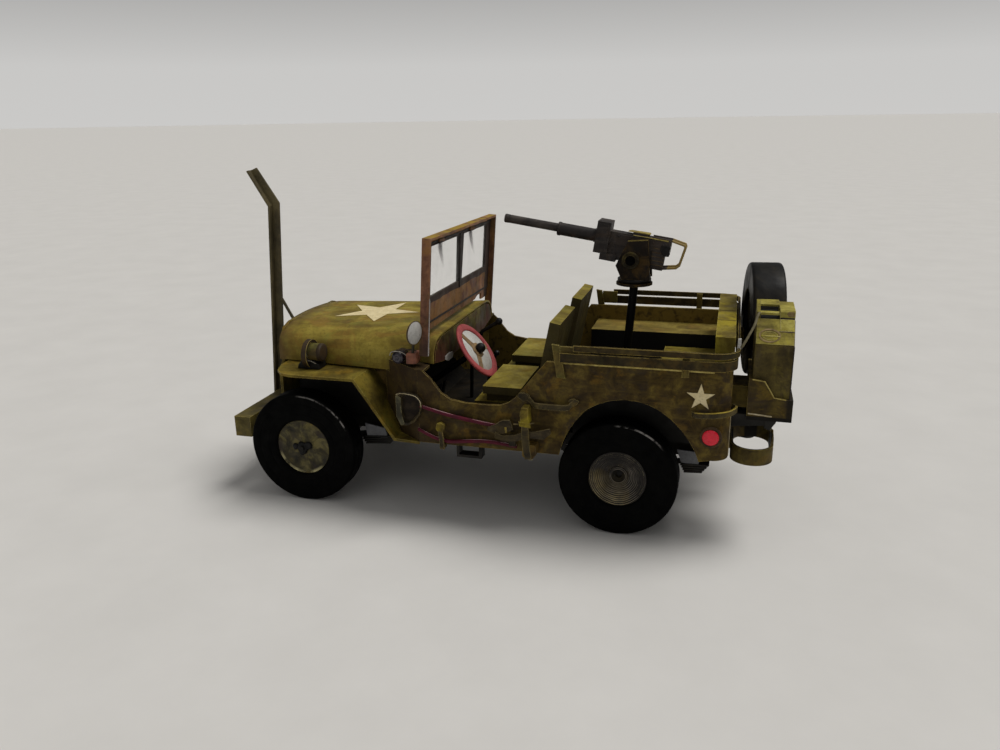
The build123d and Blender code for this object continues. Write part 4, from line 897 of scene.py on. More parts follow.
# olive-brown patches on the black tread: dust with painted sheen
t = lathe("spare_tyre_rolled", [(r, -a) for r, a in sp], SPC, ax,
          painted("spare_tyre_paint", (6, 6, 6), (13, 12, 11), (26, 23, 19), patch=(58, 50, 36), patch_mix=0.45,
                  patch_at=(0.50, 0.66), edge=(84, 78, 66), edge_w=0.00025, edge_mix=0.6, seed=7.7,
                  streak=(40, 300, 40), rough=(0.4, 0.6), spec=0.12, dirt=0.2),
          segs=128, wob=0.05, seed=3.3, slot="tyre_card")
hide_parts("spare_tyre")
sr = [(0.0, h - 1.05)] + [(r, a) for r, a in ((2.4, h - 1.05), (2.5, h - 1.7), (7.3, h - 1.2), (7.48, h - 1.1),
                                             (7.48, -h + 1.1))]
spr = [(0.02, -h + 1.7), (2.0, -h + 1.66), (2.2, -h + 1.5), (2.5, -h + 1.56)]
for i in range(7):
    r = 2.9 + 0.66 * i
    a = -h + 1.5 - 0.055 * i
    spr += [(r, a + 0.05), (r + 0.2, a - 0.06), (r + 0.42, a - 0.05), (r + 0.56, a + 0.12)]
spr += [(7.48, -h + 1.05), (7.48, h - 1.05), (6.8, h - 1.25), (2.6, h - 1.65), (2.3, h - 1.5), (0.02, h - 1.6)]
w = lathe("spare_rim_rolled", spr, SPC, ax, plain_noise("spare_rim_paint", (40, 34, 23), (76, 66, 43),
          rough=(0.55, 0.8), scale=260, edge=(170, 154, 112), seed=8.1), segs=96, closed=False, slot="rim_card")
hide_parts("spare_rim")


# ---------------------------------------------------------------- bonnet and cowl, rolled without creases
def sample(ctrl, n):
    """n+1 points at even arc length along a Catmull-Rom curve through the control points."""
    line = smooth_line([(a, b, 0) for a, b in ctrl], 24)
    d = [0.0]
    for a, b in zip(line, line[1:]):
        d.append(d[-1] + (b - a).length)
    out, k = [], 0
    for i in range(n + 1):
        t = d[-1] * i / n
        while k < len(d) - 2 and d[k + 1] < t:
            k += 1
        f = (t - d[k]) / max(d[k + 1] - d[k], 1e-9)
        q = line[k].lerp(line[k + 1], f)
        out.append((q.x, q.y))
    return out


B_FRONT = [(0.0, 46.55), (6.0, 46.55), (12.0, 46.5), (15.9, 45.75), (18.5, 43.7), (19.5, 40.9), (19.6, 37.1)]
B_MID = [(0.0, 47.5), (8.0, 47.5), (15.0, 47.4), (20.1, 46.45), (23.2, 43.8), (24.4, 41.2), (24.5, 37.5)]
C_MID = [(0.0, 47.5), (8.0, 47.5), (15.0, 47.4), (20.1, 46.45), (23.2, 43.8), (24.3, 41.9), (24.45, 40.75)]
C_REAR = [(0.0, 47.2), (10.0, 47.2), (19.6, 47.15), (24.0, 46.3), (26.2, 44.2), (26.8, 42.3), (26.9, 40.75)]
N_ARC = 40


def rolled(name, sections, thick, mat, node, slot, lift=0.0):
    """Card sheet rolled over sections [(x function, control points)], closed to a solid of one thickness."""
    rows = []
    for xf, ctrl in sections:
        half = sample(ctrl, N_ARC)
        full = [(-y, z) for y, z in half[:0:-1]] + half
        row = []
        for i, (y, z) in enumerate(full):
            a, b = full[max(i - 1, 0)], full[min(i + 1, len(full) - 1)]
            t = Vector((b[0] - a[0], b[1] - a[1])).normalized()
            nrm = Vector((-t.y, t.x))
            x = xf(y)
            w = 0.05 * noise.noise(Vector((x * 0.09, y * 0.11, z * 0.11)))
            row.append((x, y + nrm.x * w, z + nrm.y * w, nrm))
        rows.append(row)
    m = len(rows[0])
    v = [D(x, y, z) for row in rows for x, y, z, q in row]
    v += [D(x, y - q.x * thick, z - q.y * thick) for row in rows for x, y, z, q in row]
    off, f = len(rows) * m, []
    for r in range(len(rows) - 1):
        for i in range(m - 1):
            a, b, c, d = r * m + i, r * m + i + 1, (r + 1) * m + i + 1, (r + 1) * m + i
            f += [[a, b, c, d], [off + d, off + c, off + b, off + a]]
    last = (len(rows) - 1) * m
    for i in range(m - 1):
        f += [[i, off + i, off + i + 1, i + 1], [last + i, last + i + 1, off + last + i + 1, off + last + i]]
    for r in range(len(rows) - 1):
        a, b = r * m, (r + 1) * m
        f += [[a, b, off + b, off + a], [a + m - 1, off + a + m - 1, off + b + m - 1, b + m - 1]]
    ob = piece(name, v, f, mat, smooth=True, bevel=0.1, segs=2, slot=slot)
    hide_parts(node)
    return ob


def between(a, b, t):
    return [(p[0] + (q[0] - p[0]) * t, p[1] + (q[1] - p[1]) * t) for p, q in zip(a, b)]


secs = []
for i in range(19):
    t = i / 18
    x0 = 96.1 + (55.02 - 96.1) * t

    def xf(y, x0=x0, t=t):
        return x0 + (1 - t) ** 4 * max(1.2 - 0.0095 * y * y, -0.6)
    ctrl = between(B_FRONT, B_MID, t)
    if t < 0.06:
        ctrl = [(y * 0.992, z - (0.35 if z > 43 else 0.2) * (1 - t / 0.06)) for y, z in ctrl]
    secs.append((xf, ctrl))
rolled("bonnet_rolled", secs, 0.7, BONNET, "bonnet", "bonnet_card")
rolled("cowl_rolled", [((lambda y, x=54.98 + (47.4 - 54.98) * i / 6: x), between(C_MID, C_REAR, i / 6)) for i in range(7)],
       0.6, COWL, "cowl", "bonnet_card")

# ---------------------------------------------------------------- stars
def on_bonnet(a, b, t):
    return (a, b, 46.55 + 0.95 * (96.1 - a) / 41.1 + 0.07 + t)


skin_star("bonnet_star", star_points(73.8, 0.0, 12.6, math.pi, 0.40), on_bonnet, 0.06, 3)


def on_side(sign):
    def f(a, b, t):
        y = 32.0
        if a < -21.7:
            y = 28.0 + math.sqrt(max(16.0 - (a + 21.7) ** 2, 0.0))
        return (a, sign * (y + 0.03 + t), b)
    return f


for side, s in (("left", 1), ("right", -1)):
    skin_star("side_star_%s" % side, star_points(-18.85, 38.7, 3.3, math.pi / 2), on_side(s), 0.06, 4)

# ---------------------------------------------------------------- windscreen
def on_screen(x0, x1):
    def f(a, b, t):
        return tuple(SM @ Vector((x0 + (x1 - x0) * t, a, b)))
    return f


# the painted line along the foot of the lower panel, the wiper pivots and the wiper marks, drawn with their painted
# shadow
slab("screen_foot_line", [(-27.6, -6.2), (27.6, -6.05), (27.6, -6.6), (-27.6, -6.75)], on_screen(-0.8, -0.71), SEAL,
     bevel=0.02, slot="screen_card")
slab("screen_brow", [(-27.9, 13.5), (27.9, 13.5), (27.9, 13.9), (-27.9, 13.9)], on_screen(-0.86, -0.71), SEAL,
     bevel=0.02, slot="screen_card")
def shade_material(tag, ya, yb, zb):
    """Soft grey wiper mark with its painted shadow, that thins out downwards and to both sides of its curved middle
    line.
    """
    m = Mat("wiper_shadow_" + tag)
    z = m.along((49.4, 0, 57.0), S_Z)
    y = m.along((49.4, 0, 57.0), S_Y)
    n = m.noise(420, 3, 0.6)
    u = m.math("DIVIDE", m.math("SUBTRACT", 0.0129, z), (12.9 - zb) * 0.001, clamp=True)
    mid = m.math("ADD", m.math("MULTIPLY", m.math("POWER", u, 1.5), (yb - ya) * 0.001), ya * 0.001)
    half = m.math("ADD", m.math("MULTIPLY", m.math("SUBTRACT", 1.0, u), 0.0016), 0.0007)
    d = m.math("DIVIDE", m.math("ABSOLUTE", m.math("SUBTRACT", y, mid)), half)
    a = m.math("MULTIPLY", m.span(d, 1.0, 0.25), m.span(m.math("ADD", u, m.math("MULTIPLY", n, 0.1)), 1.0, 0.0, 0.0, 0.62))
    m.put(m.b.inputs["Base Color"], m.ramp(n, [(0.3, rgb(84, 76, 78)), (0.7, rgb(104, 96, 97))]))
    m.put(m.b.inputs["Roughness"], m.span(n, 0.3, 0.7, 0.6, 0.85))
    m.put(m.b.inputs["Alpha"], a)
    m.b.inputs["Specular IOR Level"].default_value = 0.1
    m.link(m.bump(n, 0.2, 0.00005), m.b.inputs["Normal"])
    return m.m


WIPES = [("left", 17.2, 12.6, 4.6), ("right", -8.4, -14.2, 4.4)]
for tag, ya, yb, zb in WIPES:
    slab("wiper_pivot_%s" % tag, [(ya - 1.9, 13.0), (ya + 2.2, 13.0), (ya + 2.0, 14.2), (ya - 1.6, 14.0)],
         on_screen(-1.3, -0.7), SCREEN, bevel=0.12, slot="screen_card")
    left, right = [], []
    for k in range(9):
        u = k / 8
        zc = 12.9 + (zb - 12.9) * u
        yc = ya + (yb - ya) * u ** 1.5
        w = 1.7 * (1 - u) + 0.75
        left.append((yc + w, zc))
        right.append((yc - w, zc))
    quads = []
    v = [D(*on_screen(-0.64, -0.56)(a, b, t)) for t in (0, 1) for a, b in left + right]
    nq = 9
    for k in range(nq - 1):
        quads += [[k, k + 1, nq + k + 1, nq + k], [2 * nq + k, 2 * nq + nq + k, 2 * nq + nq + k + 1, 2 * nq + k + 1],
                  [k, 2 * nq + k, 2 * nq + k + 1, k + 1], [nq + k, nq + k + 1, 3 * nq + k + 1, 3 * nq + k]]
    quads += [[0, nq, 3 * nq, 2 * nq], [nq - 1, 3 * nq - 1, 4 * nq - 1, 2 * nq - 1]]
    piece("wiper_mark_%s" % tag, v, quads, shade_material(tag, ya, yb, zb), slot="screen_card")
# painted cover strip of the divider, wider at the top, where it also stands in for painted shade of the wiper mounts
slab("divider_strip", [(-1.55, 13.4), (1.55, 13.4), (0.95, 3.0), (0.7, -1.6), (-0.7, -1.6), (-0.95, 3.0)],
     on_screen(-0.95, 0.22), SEAL, bevel=0.06, slot="screen_card")
# card strip that closes the gap under the plate, left open near the far end
slab("screen_foot_skirt", [(27.7, -6.3), (27.7, -8.4), (-15.5, -8.3), (-17.6, -7.55), (-21.6, -7.5), (-21.9, -9.5),
                           (-27.7, -9.5), (-27.7, -6.3)], on_screen(-0.66, -0.06), SCREEN, bevel=0.05, slot="screen_card")
# the rubbed pale strip low on the left flange's rear edge
slab("flange_rub_side", [(-2.32, -13.9), (-1.75, -13.9), (-1.8, -3.0), (-1.95, 0.9), (-2.3, 0.4)],
     lambda a, b, t: tuple(SM @ Vector((a, 28.58 + 0.1 * t, b))),
     plain_noise("flange_rub_paint", (104, 92, 90), (158, 144, 140), rough=(0.6, 0.8), scale=360, seed=12.0, spec=0.15),
     bevel=0.03, slot="screen_card")
slab("flange_rub", [(28.12, -13.9), (28.55, -13.9), (28.5, 0.8), (28.2, 0.2)], on_screen(-2.34, -2.2), PALE, bevel=0.02,
     slot="screen_card")
# bare card tab under the left end of the dashboard
slab("dash_tab", [(12.2, 39.3), (13.0, 38.6), (16.2, 38.6), (18.4, 39.5), (18.2, 40.4), (15.6, 40.6), (12.6, 40.3)],
     lambda a, b, t: (47.36 - 0.3 * t, a, b), PALE, bevel=0.05)
# ---------------------------------------------------------------- steering wheel
TILT = math.radians(36.3)
SWC = Vector((40.65, 11.5, 40.6))
SWN = Vector((-math.cos(TILT), 0, math.sin(TILT)))
EX, EY = Vector((0, 1, 0)), Vector((-math.sin(TILT), 0, -math.cos(TILT)))


def on_wheel(h0, h1):
    def f(a, b, t):
        return tuple(SWC + EX * a + EY * b + SWN * (h0 + (h1 - h0) * t))
    return f


disc = lathe("steering_disc", [(0.02, -0.25), (6.8, -0.25), (6.8, 0.12), (0.02, 0.12)], SWC, SWN, WHITE, segs=72,
             closed=False, slot="wheel_card")
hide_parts("steering_wheel")
lathe("steering_rim", [(6.22, -0.2), (6.5, -0.32), (8.0, -0.32), (8.25, -0.1), (8.25, 0.2), (8.0, 0.4), (6.5, 0.38),
                       (6.25, 0.22)], SWC, SWN, PINK, segs=96, wob=0.08, seed=1.0, slot="wheel_card")
for i, ang in enumerate((-65, 43, 174)):
    a = math.radians(ang)
    d, q = Vector((math.cos(a), math.sin(a), 0)), Vector((-math.sin(a), math.cos(a), 0))
    pts = [d * 0.8 + q * 1.25, d * 2.6 + q * 0.95, d * 6.5 + q * 0.72, d * 6.5 - q * 0.72, d * 2.6 - q * 0.95,
           d * 0.8 - q * 1.25]
    slab("steering_spoke_%d" % (i + 1), [(p.x, p.y) for p in pts], on_wheel(0.1, 0.34), TAN, bevel=0.08,
         slot="wheel_card")
lathe("steering_boss", [(0.02, 0.1), (2.7, 0.1), (2.7, 0.42), (2.3, 0.5), (0.02, 0.5)], SWC, SWN, TAN, segs=40, wob=0.8, seed=2.0,
      closed=False, slot="wheel_card")
hub = [(0.02, 0.3)] + [(1.38 * math.sin(a), 1.3 - 1.38 * math.cos(a)) for a in
                       [math.pi * k / 14 for k in range(2, 15)]]
lathe("steering_knob", hub, SWC, SWN, BLACK, segs=32, wob=0.05, seed=4.0, closed=False, slot="control_wire")
tube("steering_column", [tuple(SWC - SWN * 0.3), tuple(SWC - SWN * 8.0), tuple(SWC - SWN * 17.0)], 0.78, POST,
     slot="control_wire")


# ---------------------------------------------------------------- mirror group beside the cowl
def box_pts(x0, x1, z0, z1):
    return [(x0, z0), (x1, z0), (x1, z1), (x0, z1)]


def across(y0, y1):
    return lambda a, b, t: (a, y0 + (y1 - y0) * t, b)


MT = math.radians(16)
MN = Vector((-math.cos(MT), math.sin(MT), -0.03)).normalized()
MC = Vector((50.3, 31.75, 50.0))
m0 = lathe("mirror_face", [(0.02, 0.12), (2.74, 0.12), (2.84, 0.2), (2.72, 0.3), (0.02, 0.3)], MC, MN, MIRROR, segs=64,
           closed=False, slot="mirror_card")
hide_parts("side_mirror")
lathe("mirror_back", [(0.02, -0.35), (2.4, -0.34), (2.85, -0.2), (3.0, 0.0), (3.0, 0.2), (2.92, 0.28), (2.84, 0.24),
                      (2.8, 0.12), (0.02, 0.12)], MC, MN, BROWN, segs=64, closed=False, slot="mirror_card")
tube("mirror_stem", [(51.8, 29.6, 43.9), (51.3, 30.4, 45.6), (50.8, 31.3, 47.3), (50.55, 31.5, 48.6)], 0.36, CHASSIS,
     slot="mirror_card")
tube("mirror_bar", [(50.6, 30.1, 45.05), (53.4, 29.9, 45.1), (55.6, 29.6, 44.7), (57.7, 29.4, 43.9)], 0.22, BROWN,
     slot="mirror_card", ring=10)
slab("mirror_block", [(50.7, 41.5), (53.4, 41.4), (53.45, 43.9), (52.9, 44.4), (50.75, 44.35)], across(27.1, 30.3), BRICK,
     bevel=0.22, slot="mirror_card")
lathe("mirror_boss", [(0.02, 0.0), (1.5, 0.0), (1.62, 0.2), (1.62, 3.9), (1.42, 4.2), (1.1, 4.28), (1.0, 4.5),
                      (0.55, 4.5), (0.5, 4.35), (0.02, 4.3)], (56.1, 25.3, 42.6), (0, 1, 0), BOSS, segs=48,
      closed=False, slot="mirror_card")
tube("mirror_boss_wire", [(53.4, 30.0, 43.6), (54.4, 30.0, 44.25), (56.0, 29.9, 44.45), (57.5, 29.8, 44.1),
                          (58.0, 29.7, 43.2)], 0.11, WIRE_PALE, slot="mirror_card")

# ---------------------------------------------------------------- driving lamp on the left fender
LY, LZ = 24.4, 41.2
drum = lathe("lamp_drum", [(0.02, 79.6), (2.1, 79.6), (2.36, 79.7), (2.38, 79.9), (2.38, 82.9),
                           (2.2, 83.15), (0.02, 83.15)], (0, LY, LZ), (1, 0, 0), LAMP, segs=48, closed=False,
             slot="lamp_card")
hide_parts("drive_lamp")
lathe("lamp_back", [(0.02, 79.2), (1.5, 79.2), (2.0, 79.24), (2.3, 79.35), (2.4, 79.6), (2.42, 80.3), (2.3, 80.35)], (0, LY, LZ), (1, 0, 0), LAMP_BACK,
      segs=48, closed=False, slot="lamp_card")
lathe("lamp_lens", [(0.02, 83.9), (1.0, 83.8), (1.8, 83.5), (2.25, 83.1), (2.2, 83.0), (0.02, 83.0)], (0, LY, LZ),
      (1, 0, 0), MIRROR, segs=48, closed=False, slot="lamp_card")


def hoop(name, r0, r1, x0, x1, cz, z_low, mat):
    """Open ring standing on the fender: cut off at z_low."""
    a0 = math.asin((z_low - cz) / r1) if abs(z_low - cz) < r1 else -math.pi / 2
    n = 48
    v, f = [], []
    for i in range(n + 1):
        a = a0 + (math.pi - 2 * a0) * i / n
        for r, x in ((r0, x0), (r1, x0), (r1, x1), (r0, x1)):
            v.append(D(x, LY + r * math.cos(a), max(cz + r * math.sin(a), z_low)))
    for i in range(n):
        for k in range(4):
            l = (k + 1) % 4
            f.append([i * 4 + k, i * 4 + l, (i + 1) * 4 + l, (i + 1) * 4 + k])
    f += [[0, 1, 2, 3], [n * 4 + 3, n * 4 + 2, n * 4 + 1, n * 4]]
    return piece(name, v, f, mat, bevel=0.06, slot="lamp_card")


hoop("lamp_hoop", 3.2, 3.85, 82.6, 83.95, 40.7, 36.95, LAMP_BACK)
hoop("lamp_hoop_rub", 3.74, 3.88, 82.52, 82.64, 40.7, 36.95, GOLDLINE)
slab("lamp_foot", [(79.7, 36.92), (86.3, 36.92), (86.0, 38.0), (84.9, 39.3), (83.0, 39.0), (81.4, 39.4), (80.0, 38.4)],
     across(22.3, 26.5), BLACK, bevel=0.3, slot="lamp_card", segs=3)
tube("lamp_clip", [(80.6, 26.55, 38.6), (82.4, 26.6, 39.3), (84.4, 26.5, 38.9)], 0.11, WIRE_PALE, slot="lamp_card")


# ---------------------------------------------------------------- pioneer tools


def tool_handle(tag, pts, y, r, node):
    line = [(x, y, z) for x, z in pts]
    a = tube("%s_handle" % tag, line, lambda t: r * (0.86 + 0.14 * math.sin(math.pi * t)), MAGENTA, ring=14,
             slot="tool_card")
    # painted highlight: a pale line along the top, where the light catches the handle
    tube("%s_handle_rub" % tag, [(x, y + 0.12, z + r * 0.86) for x, z in pts],
         lambda t: 0.075 * (0.25 + 0.75 * abs(math.sin(7.3 * t + len(tag)))), HANDLE_TOP, ring=8, slot="tool_card")
    return a


sh = tool_handle("shovel", [(49.2, 31.5), (43.8, 30.2), (39.9, 29.4), (34.7, 28.6), (30.9, 28.1), (26.8, 27.8)], 32.9,
                 0.5, "shovel")
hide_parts("shovel")
axh = tool_handle("axe", [(49.9, 25.3), (47.3, 24.1), (44.6, 23.1), (41.5, 22.7), (37.5, 23.1), (33.6, 23.5),
                          (29.7, 23.5), (24.2, 22.9)], 32.9, 0.5, "axe")
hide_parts("axe")
BLADE = [(55.3, 34.3), (53.8, 34.7), (51.8, 34.6), (50.0, 34.2), (48.8, 33.0), (48.5, 31.4), (49.0, 29.5),
         (50.6, 27.3), (52.4, 26.3), (54.2, 26.2), (55.4, 28.6)]
BIN = [(54.3, 34.0), (53.5, 34.4), (51.9, 34.35), (50.2, 33.95), (49.1, 32.85), (48.85, 31.4), (49.3, 29.7),
       (50.8, 27.75), (52.4, 26.8), (53.5, 26.9), (54.3, 29.2)]


def dished(name, outer, inner, y_back, y_rim, y_pan, mat, pan_mat, **kw):
    n = len(outer)
    v = [D(x, y_back, z) for x, z in outer] + [D(x, y_rim, z) for x, z in outer] + [D(x, y_rim, z) for x, z in inner]
    cx = sum(p[0] for p in inner) / n
    cz = sum(p[1] for p in inner) / n
    v += [D(cx + (x - cx) * 0.86, y_pan, cz + (z - cz) * 0.86) for x, z in inner]
    f = [list(range(n))[::-1], list(range(3 * n, 4 * n))]
    for i in range(n):
        j = (i + 1) % n
        for a in range(3):
            f.append([a * n + i, a * n + j, (a + 1) * n + j, (a + 1) * n + i])
    ob = piece(name, v, f, mat, bevel=0.08, **kw)
    pan = [(cx + (x - cx) * 0.9, cz + (z - cz) * 0.9) for x, z in inner]
    slab(name + "_pan", pan, across(y_pan, y_pan + 0.06), pan_mat, bevel=0.03, **kw)
    return ob


# painted shade: the inside of the dished blade near black
PAN = painted("shovel_pan_shade_paint", (24, 18, 13), (38, 30, 21), (58, 48, 34), patch=(28, 23, 20), patch_mix=0.6,
              edge=(96, 84, 56), edge_mix=0.4, seed=10.4, scale=2.4, spec=0.12)
# painted light: the blade's left wall pale
WALL = painted("shovel_wall_lit_paint", (50, 47, 36), (76, 73, 56), (104, 100, 76), edge=(186, 172, 120), edge_mix=0.9,
               edge_w=0.0002, seed=10.9, scale=2.2, spec=0.15)
dished("shovel_blade", BLADE, BIN, 32.2, 33.7, 32.6, STEEL_OLIVE, PAN, slot="tool_card")
slab("shovel_wall", [(55.35, 28.6), (54.2, 26.25), (53.2, 26.6), (53.9, 29.2), (53.9, 33.6), (54.9, 34.2), (55.3, 33.9)],
     across(33.66, 33.8), WALL, bevel=0.05, slot="tool_card")
for nm, line, yy in (("shovel_rim_rub", [(55.2, 34.35), (53.8, 34.72), (51.8, 34.62), (50.0, 34.2), (48.85, 33.0), (48.6, 31.5)],
                      33.75),
                     ("axe_low_rub", [(19.0, 28.0), (17.5, 28.4), (15.6, 29.0)], 34.6),
                     ("axe_top_rub", [(29.2, 28.9), (27.4, 30.05), (25.6, 30.25)], 34.32)):
    tube(nm, [(x, yy, z) for x, z in line], 0.075, EDGE if nm.startswith("shovel") else DIMLINE, ring=8,
         slot="tool_card")
# two-part axe head: the socket plate above and the long blade crossing under the clamp
slab("axe_head_top", [(31.2, 27.9), (29.1, 28.8), (27.3, 30.0), (25.6, 30.2), (25.1, 29.0), (24.8, 27.8), (27.0, 26.6),
                      (29.4, 26.4), (31.3, 27.0)], across(33.72, 34.3), STEEL_OLIVE, bevel=0.1, slot="tool_card")
slab("axe_head_low", [(29.2, 27.0), (27.6, 26.2), (24.6, 26.5), (22.2, 27.5), (18.9, 27.9), (15.6, 28.9), (15.4, 27.6),
                      (17.2, 26.0), (20.6, 26.1), (23.9, 25.0), (27.2, 24.6), (29.4, 25.4)], across(34.0, 34.58),
     STEEL_OLIVE, bevel=0.1, slot="tool_card")
slab("axe_eye", [(24.4, 23.2), (26.0, 23.2), (26.2, 26.0), (24.3, 26.0)], across(32.75, 33.75), STEEL_OLIVE, bevel=0.1,
     slot="tool_card")
slab("axe_glint", [(26.9, 28.3), (26.4, 28.4), (26.3, 26.9), (26.7, 26.8)], across(34.3, 34.4), YELLOW, bevel=0.03,
     slot="tool_card")

# ---------------------------------------------------------------- clamps and handles of folded card strip
c0 = slab("clamp_rear_strap", [(21.2, 32.9), (22.7, 33.0), (22.5, 28.0), (22.4, 24.0), (21.7, 20.7), (20.0, 20.7),
                               (20.5, 24.4), (20.7, 28.2)], across(34.7, 35.12), STRAP, bevel=0.1, slot="tool_card")
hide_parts("tool_clamps")
slab("clamp_rear_top", [(20.9, 33.9), (22.5, 33.9), (22.9, 32.2), (22.8, 29.9), (20.6, 29.7), (20.8, 31.9)],
     across(32.0, 35.14), CLAMP, bevel=0.18, slot="tool_card")
slab("clamp_rear_pad", [(20.3, 30.1), (23.2, 30.4), (23.0, 29.2), (20.2, 28.9)], across(34.72, 35.18), CLAMP,
     bevel=0.08, slot="tool_card")
slab("clamp_rear_foot", [(19.0, 24.4), (22.4, 24.5), (22.4, 21.3), (21.2, 20.65), (19.7, 20.9), (18.9, 22.0)],
     across(32.0, 35.0), CLAMP_LOW, bevel=0.2, slot="tool_card")
slab("clamp_rear_rub", [(19.72, 20.78), (19.95, 20.78), (20.9, 20.66), (20.9, 20.58), (19.9, 20.66), (19.6, 20.72)],
     across(34.9, 35.03), EDGE, bevel=0.02, slot="tool_card")
slab("clamp_pad_rub_a", [(24.5, 29.72), (24.5, 29.5), (23.2, 29.58), (23.2, 29.8)], across(34.95, 35.18), DIMLINE, bevel=0.02,
     slot="tool_card")
slab("clamp_pad_rub_b", [(20.4, 30.14), (20.4, 29.94), (19.3, 30.22), (19.3, 30.42)], across(34.95, 35.18), DIMLINE,
     bevel=0.02, slot="tool_card")
slab("clamp_front_strap", [(43.0, 25.8), (44.3, 25.9), (44.0, 23.2), (43.9, 20.9), (42.7, 20.8), (42.8, 23.2)],
     across(33.62, 34.12), STRAP, bevel=0.1, slot="tool_card")
slab("clamp_front_top", [(42.5, 27.5), (43.5, 27.95), (44.5, 27.6), (44.8, 26.3), (44.4, 25.6), (43.0, 25.5),
                         (42.6, 26.3)], across(33.2, 34.2), CLAMP, bevel=0.1, slot="tool_card")
slab("clamp_front_foot", [(42.7, 22.0), (43.9, 22.0), (43.9, 20.9), (42.7, 20.9)], across(32.0, 33.9), STRAP, bevel=0.12,
     slot="tool_card")


def bent(name, line, z_of, h, t, mat, **kw):
    """Card strip set on edge along (x, y) points; z_of gives its lower edge."""
    ln = smooth_line([(x, y, 0) for x, y in line], 6)
    n = len(ln)
    v = []
    for i, q in enumerate(ln):
        a, b = ln[max(i - 1, 0)], ln[min(i + 1, n - 1)]
        d = (b - a).normalized()
        nr = Vector((-d.y, d.x, 0)) * (t / 2)
        z = z_of(i / (n - 1))
        for k, zz in ((1, z), (-1, z), (-1, z + h), (1, z + h)):
            v.append(D(q.x + nr.x * k, q.y + nr.y * k, zz))
    f = []
    for i in range(n - 1):
        for k in range(4):
            l = (k + 1) % 4
            f.append([i * 4 + k, i * 4 + l, (i + 1) * 4 + l, (i + 1) * 4 + k])
    f += [[0, 1, 2, 3], [n * 4 - 1, n * 4 - 2, n * 4 - 3, n * 4 - 4]]
    return piece(name, v, f, mat, bevel=0.08, **kw)


first = True
for side, s_ in (("left", 1), ("right", -1)):
    ln = [(-17.2, 32.12), (-17.7, 32.9), (-18.6, 33.4), (-20.6, 33.5), (-22.6, 33.2), (-25.0, 32.0), (-26.4, 30.2),
          (-26.9, 28.6), (-26.1, 27.2)]
    ob = bent("tail_handle_%s" % side, [(x, s_ * y) for x, y in ln], lambda t: 33.95 + 0.95 * t ** 1.2, 1.35, 0.42, STRAP)
    if first:
        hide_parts("body_handles")
        first = False
    bent("tail_handle_lip_%s" % side, [(x, s_ * (y + (0.1 if x > -25.5 else 0.0))) for x, y in ln[1:-1]],
         lambda t: 35.2 + 0.82 * t ** 1.2, 0.2, 0.46, YELLOW)
    ln = [(21.6, 32.16), (20.4, 32.5), (19.3, 33.3), (17.5, 33.55), (13.0, 33.55), (11.9, 33.2), (11.0, 32.5),
          (9.9, 32.16)]
    rise = (lambda t: 33.4 + 1.35 * max(0.0, 1.0 - min(t, 1.0 - t) / 0.2) ** 0.8)
    bent("side_handle_%s" % side, [(x, s_ * y) for x, y in ln], rise, 1.42, 0.3, STRAP)
    bent("side_handle_rub_%s" % side, [(x, s_ * (y + 0.06)) for x, y in ln], (lambda t, f=rise: f(t) + 1.36), 0.13, 0.34,
         DIMLINE)
    for k, (xa, xb, za, zb) in enumerate(((24.1, 21.0, 34.5, 36.9), (11.6, 9.0, 34.3, 36.3))):
        slab("side_handle_pad_%s_%d" % (side, k + 1), [(xa, za + 1.2), (xa - 0.4, zb - 0.2), ((xa + xb) / 2, zb),
                                                      (xb, zb - 0.5), (xb + 0.3, za + 0.7), ((xa + xb) / 2, za)],
             (lambda a, b, t, q=s_: (a, q * (31.98 + 0.5 * t), b)), STRAP, bevel=0.12)
    slab("body_lip_%s" % side, [(13.4, 44.92), (13.4, 44.6), (-21.6, 44.6), (-21.6, 44.92)],
         (lambda a, b, t, q=s_: (a, q * (31.6 + 0.55 * t), b)), LIP, bevel=0.04)

# ---------------------------------------------------------------- fuel can details
CX0, CX1 = -38.45, -29.95


def along_x(x0, x1):
    return lambda a, b, t: (x0 + (x1 - x0) * t, a, b)


can = slab("can_body", [(11.25, 33.25), (25.98, 33.25), (25.98, 50.3), (21.4, 55.2), (11.25, 55.2)], along_x(CX0, CX1), CAN,
           bevel=0.22, slot="can_card")
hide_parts("fuel_can")


def on_shoulder(lift):
    return lambda a, b, t: (a, 26.0 - 4.6 * b + (0.02 + lift * t) * 0.73, 50.32 + 4.9 * b + (0.02 + lift * t) * 0.68)


slab("can_shoulder", [(-38.3, 0.02), (-30.1, 0.02), (-30.1, 1.0), (-38.3, 1.0)], on_shoulder(0.07), CAN_TOP, bevel=0.03,
     slot="can_card")
slab("can_patch", [(-38.25, 0.54), (-35.3, 0.54), (-35.15, 1.0), (-38.25, 1.0)], on_shoulder(0.13), CAN_BAR, bevel=0.03,
     slot="can_card")
slab("can_seam", [(-38.3, 0.49), (-35.0, 0.5), (-35.0, 0.535), (-38.3, 0.53)], on_shoulder(0.11), BROWN, bevel=0.02,
     slot="can_card")
slab("can_top_card", [(-38.3, 11.4), (-30.1, 11.4), (-30.1, 21.3), (-38.3, 21.3)], lambda a, b, t: (a, b, 55.15 + 0.1 * t),
     CAN_TOP, bevel=0.03, slot="can_card")
# black sheet under the grip bars: painted shade of the openings
slab("can_slot_dark", [(-35.1, 11.5), (-30.85, 11.5), (-30.85, 21.25), (-35.1, 21.25)],
     lambda a, b, t: (a, b, 55.24 + 0.06 * t), BLACK, bevel=0.02, slot="can_card")


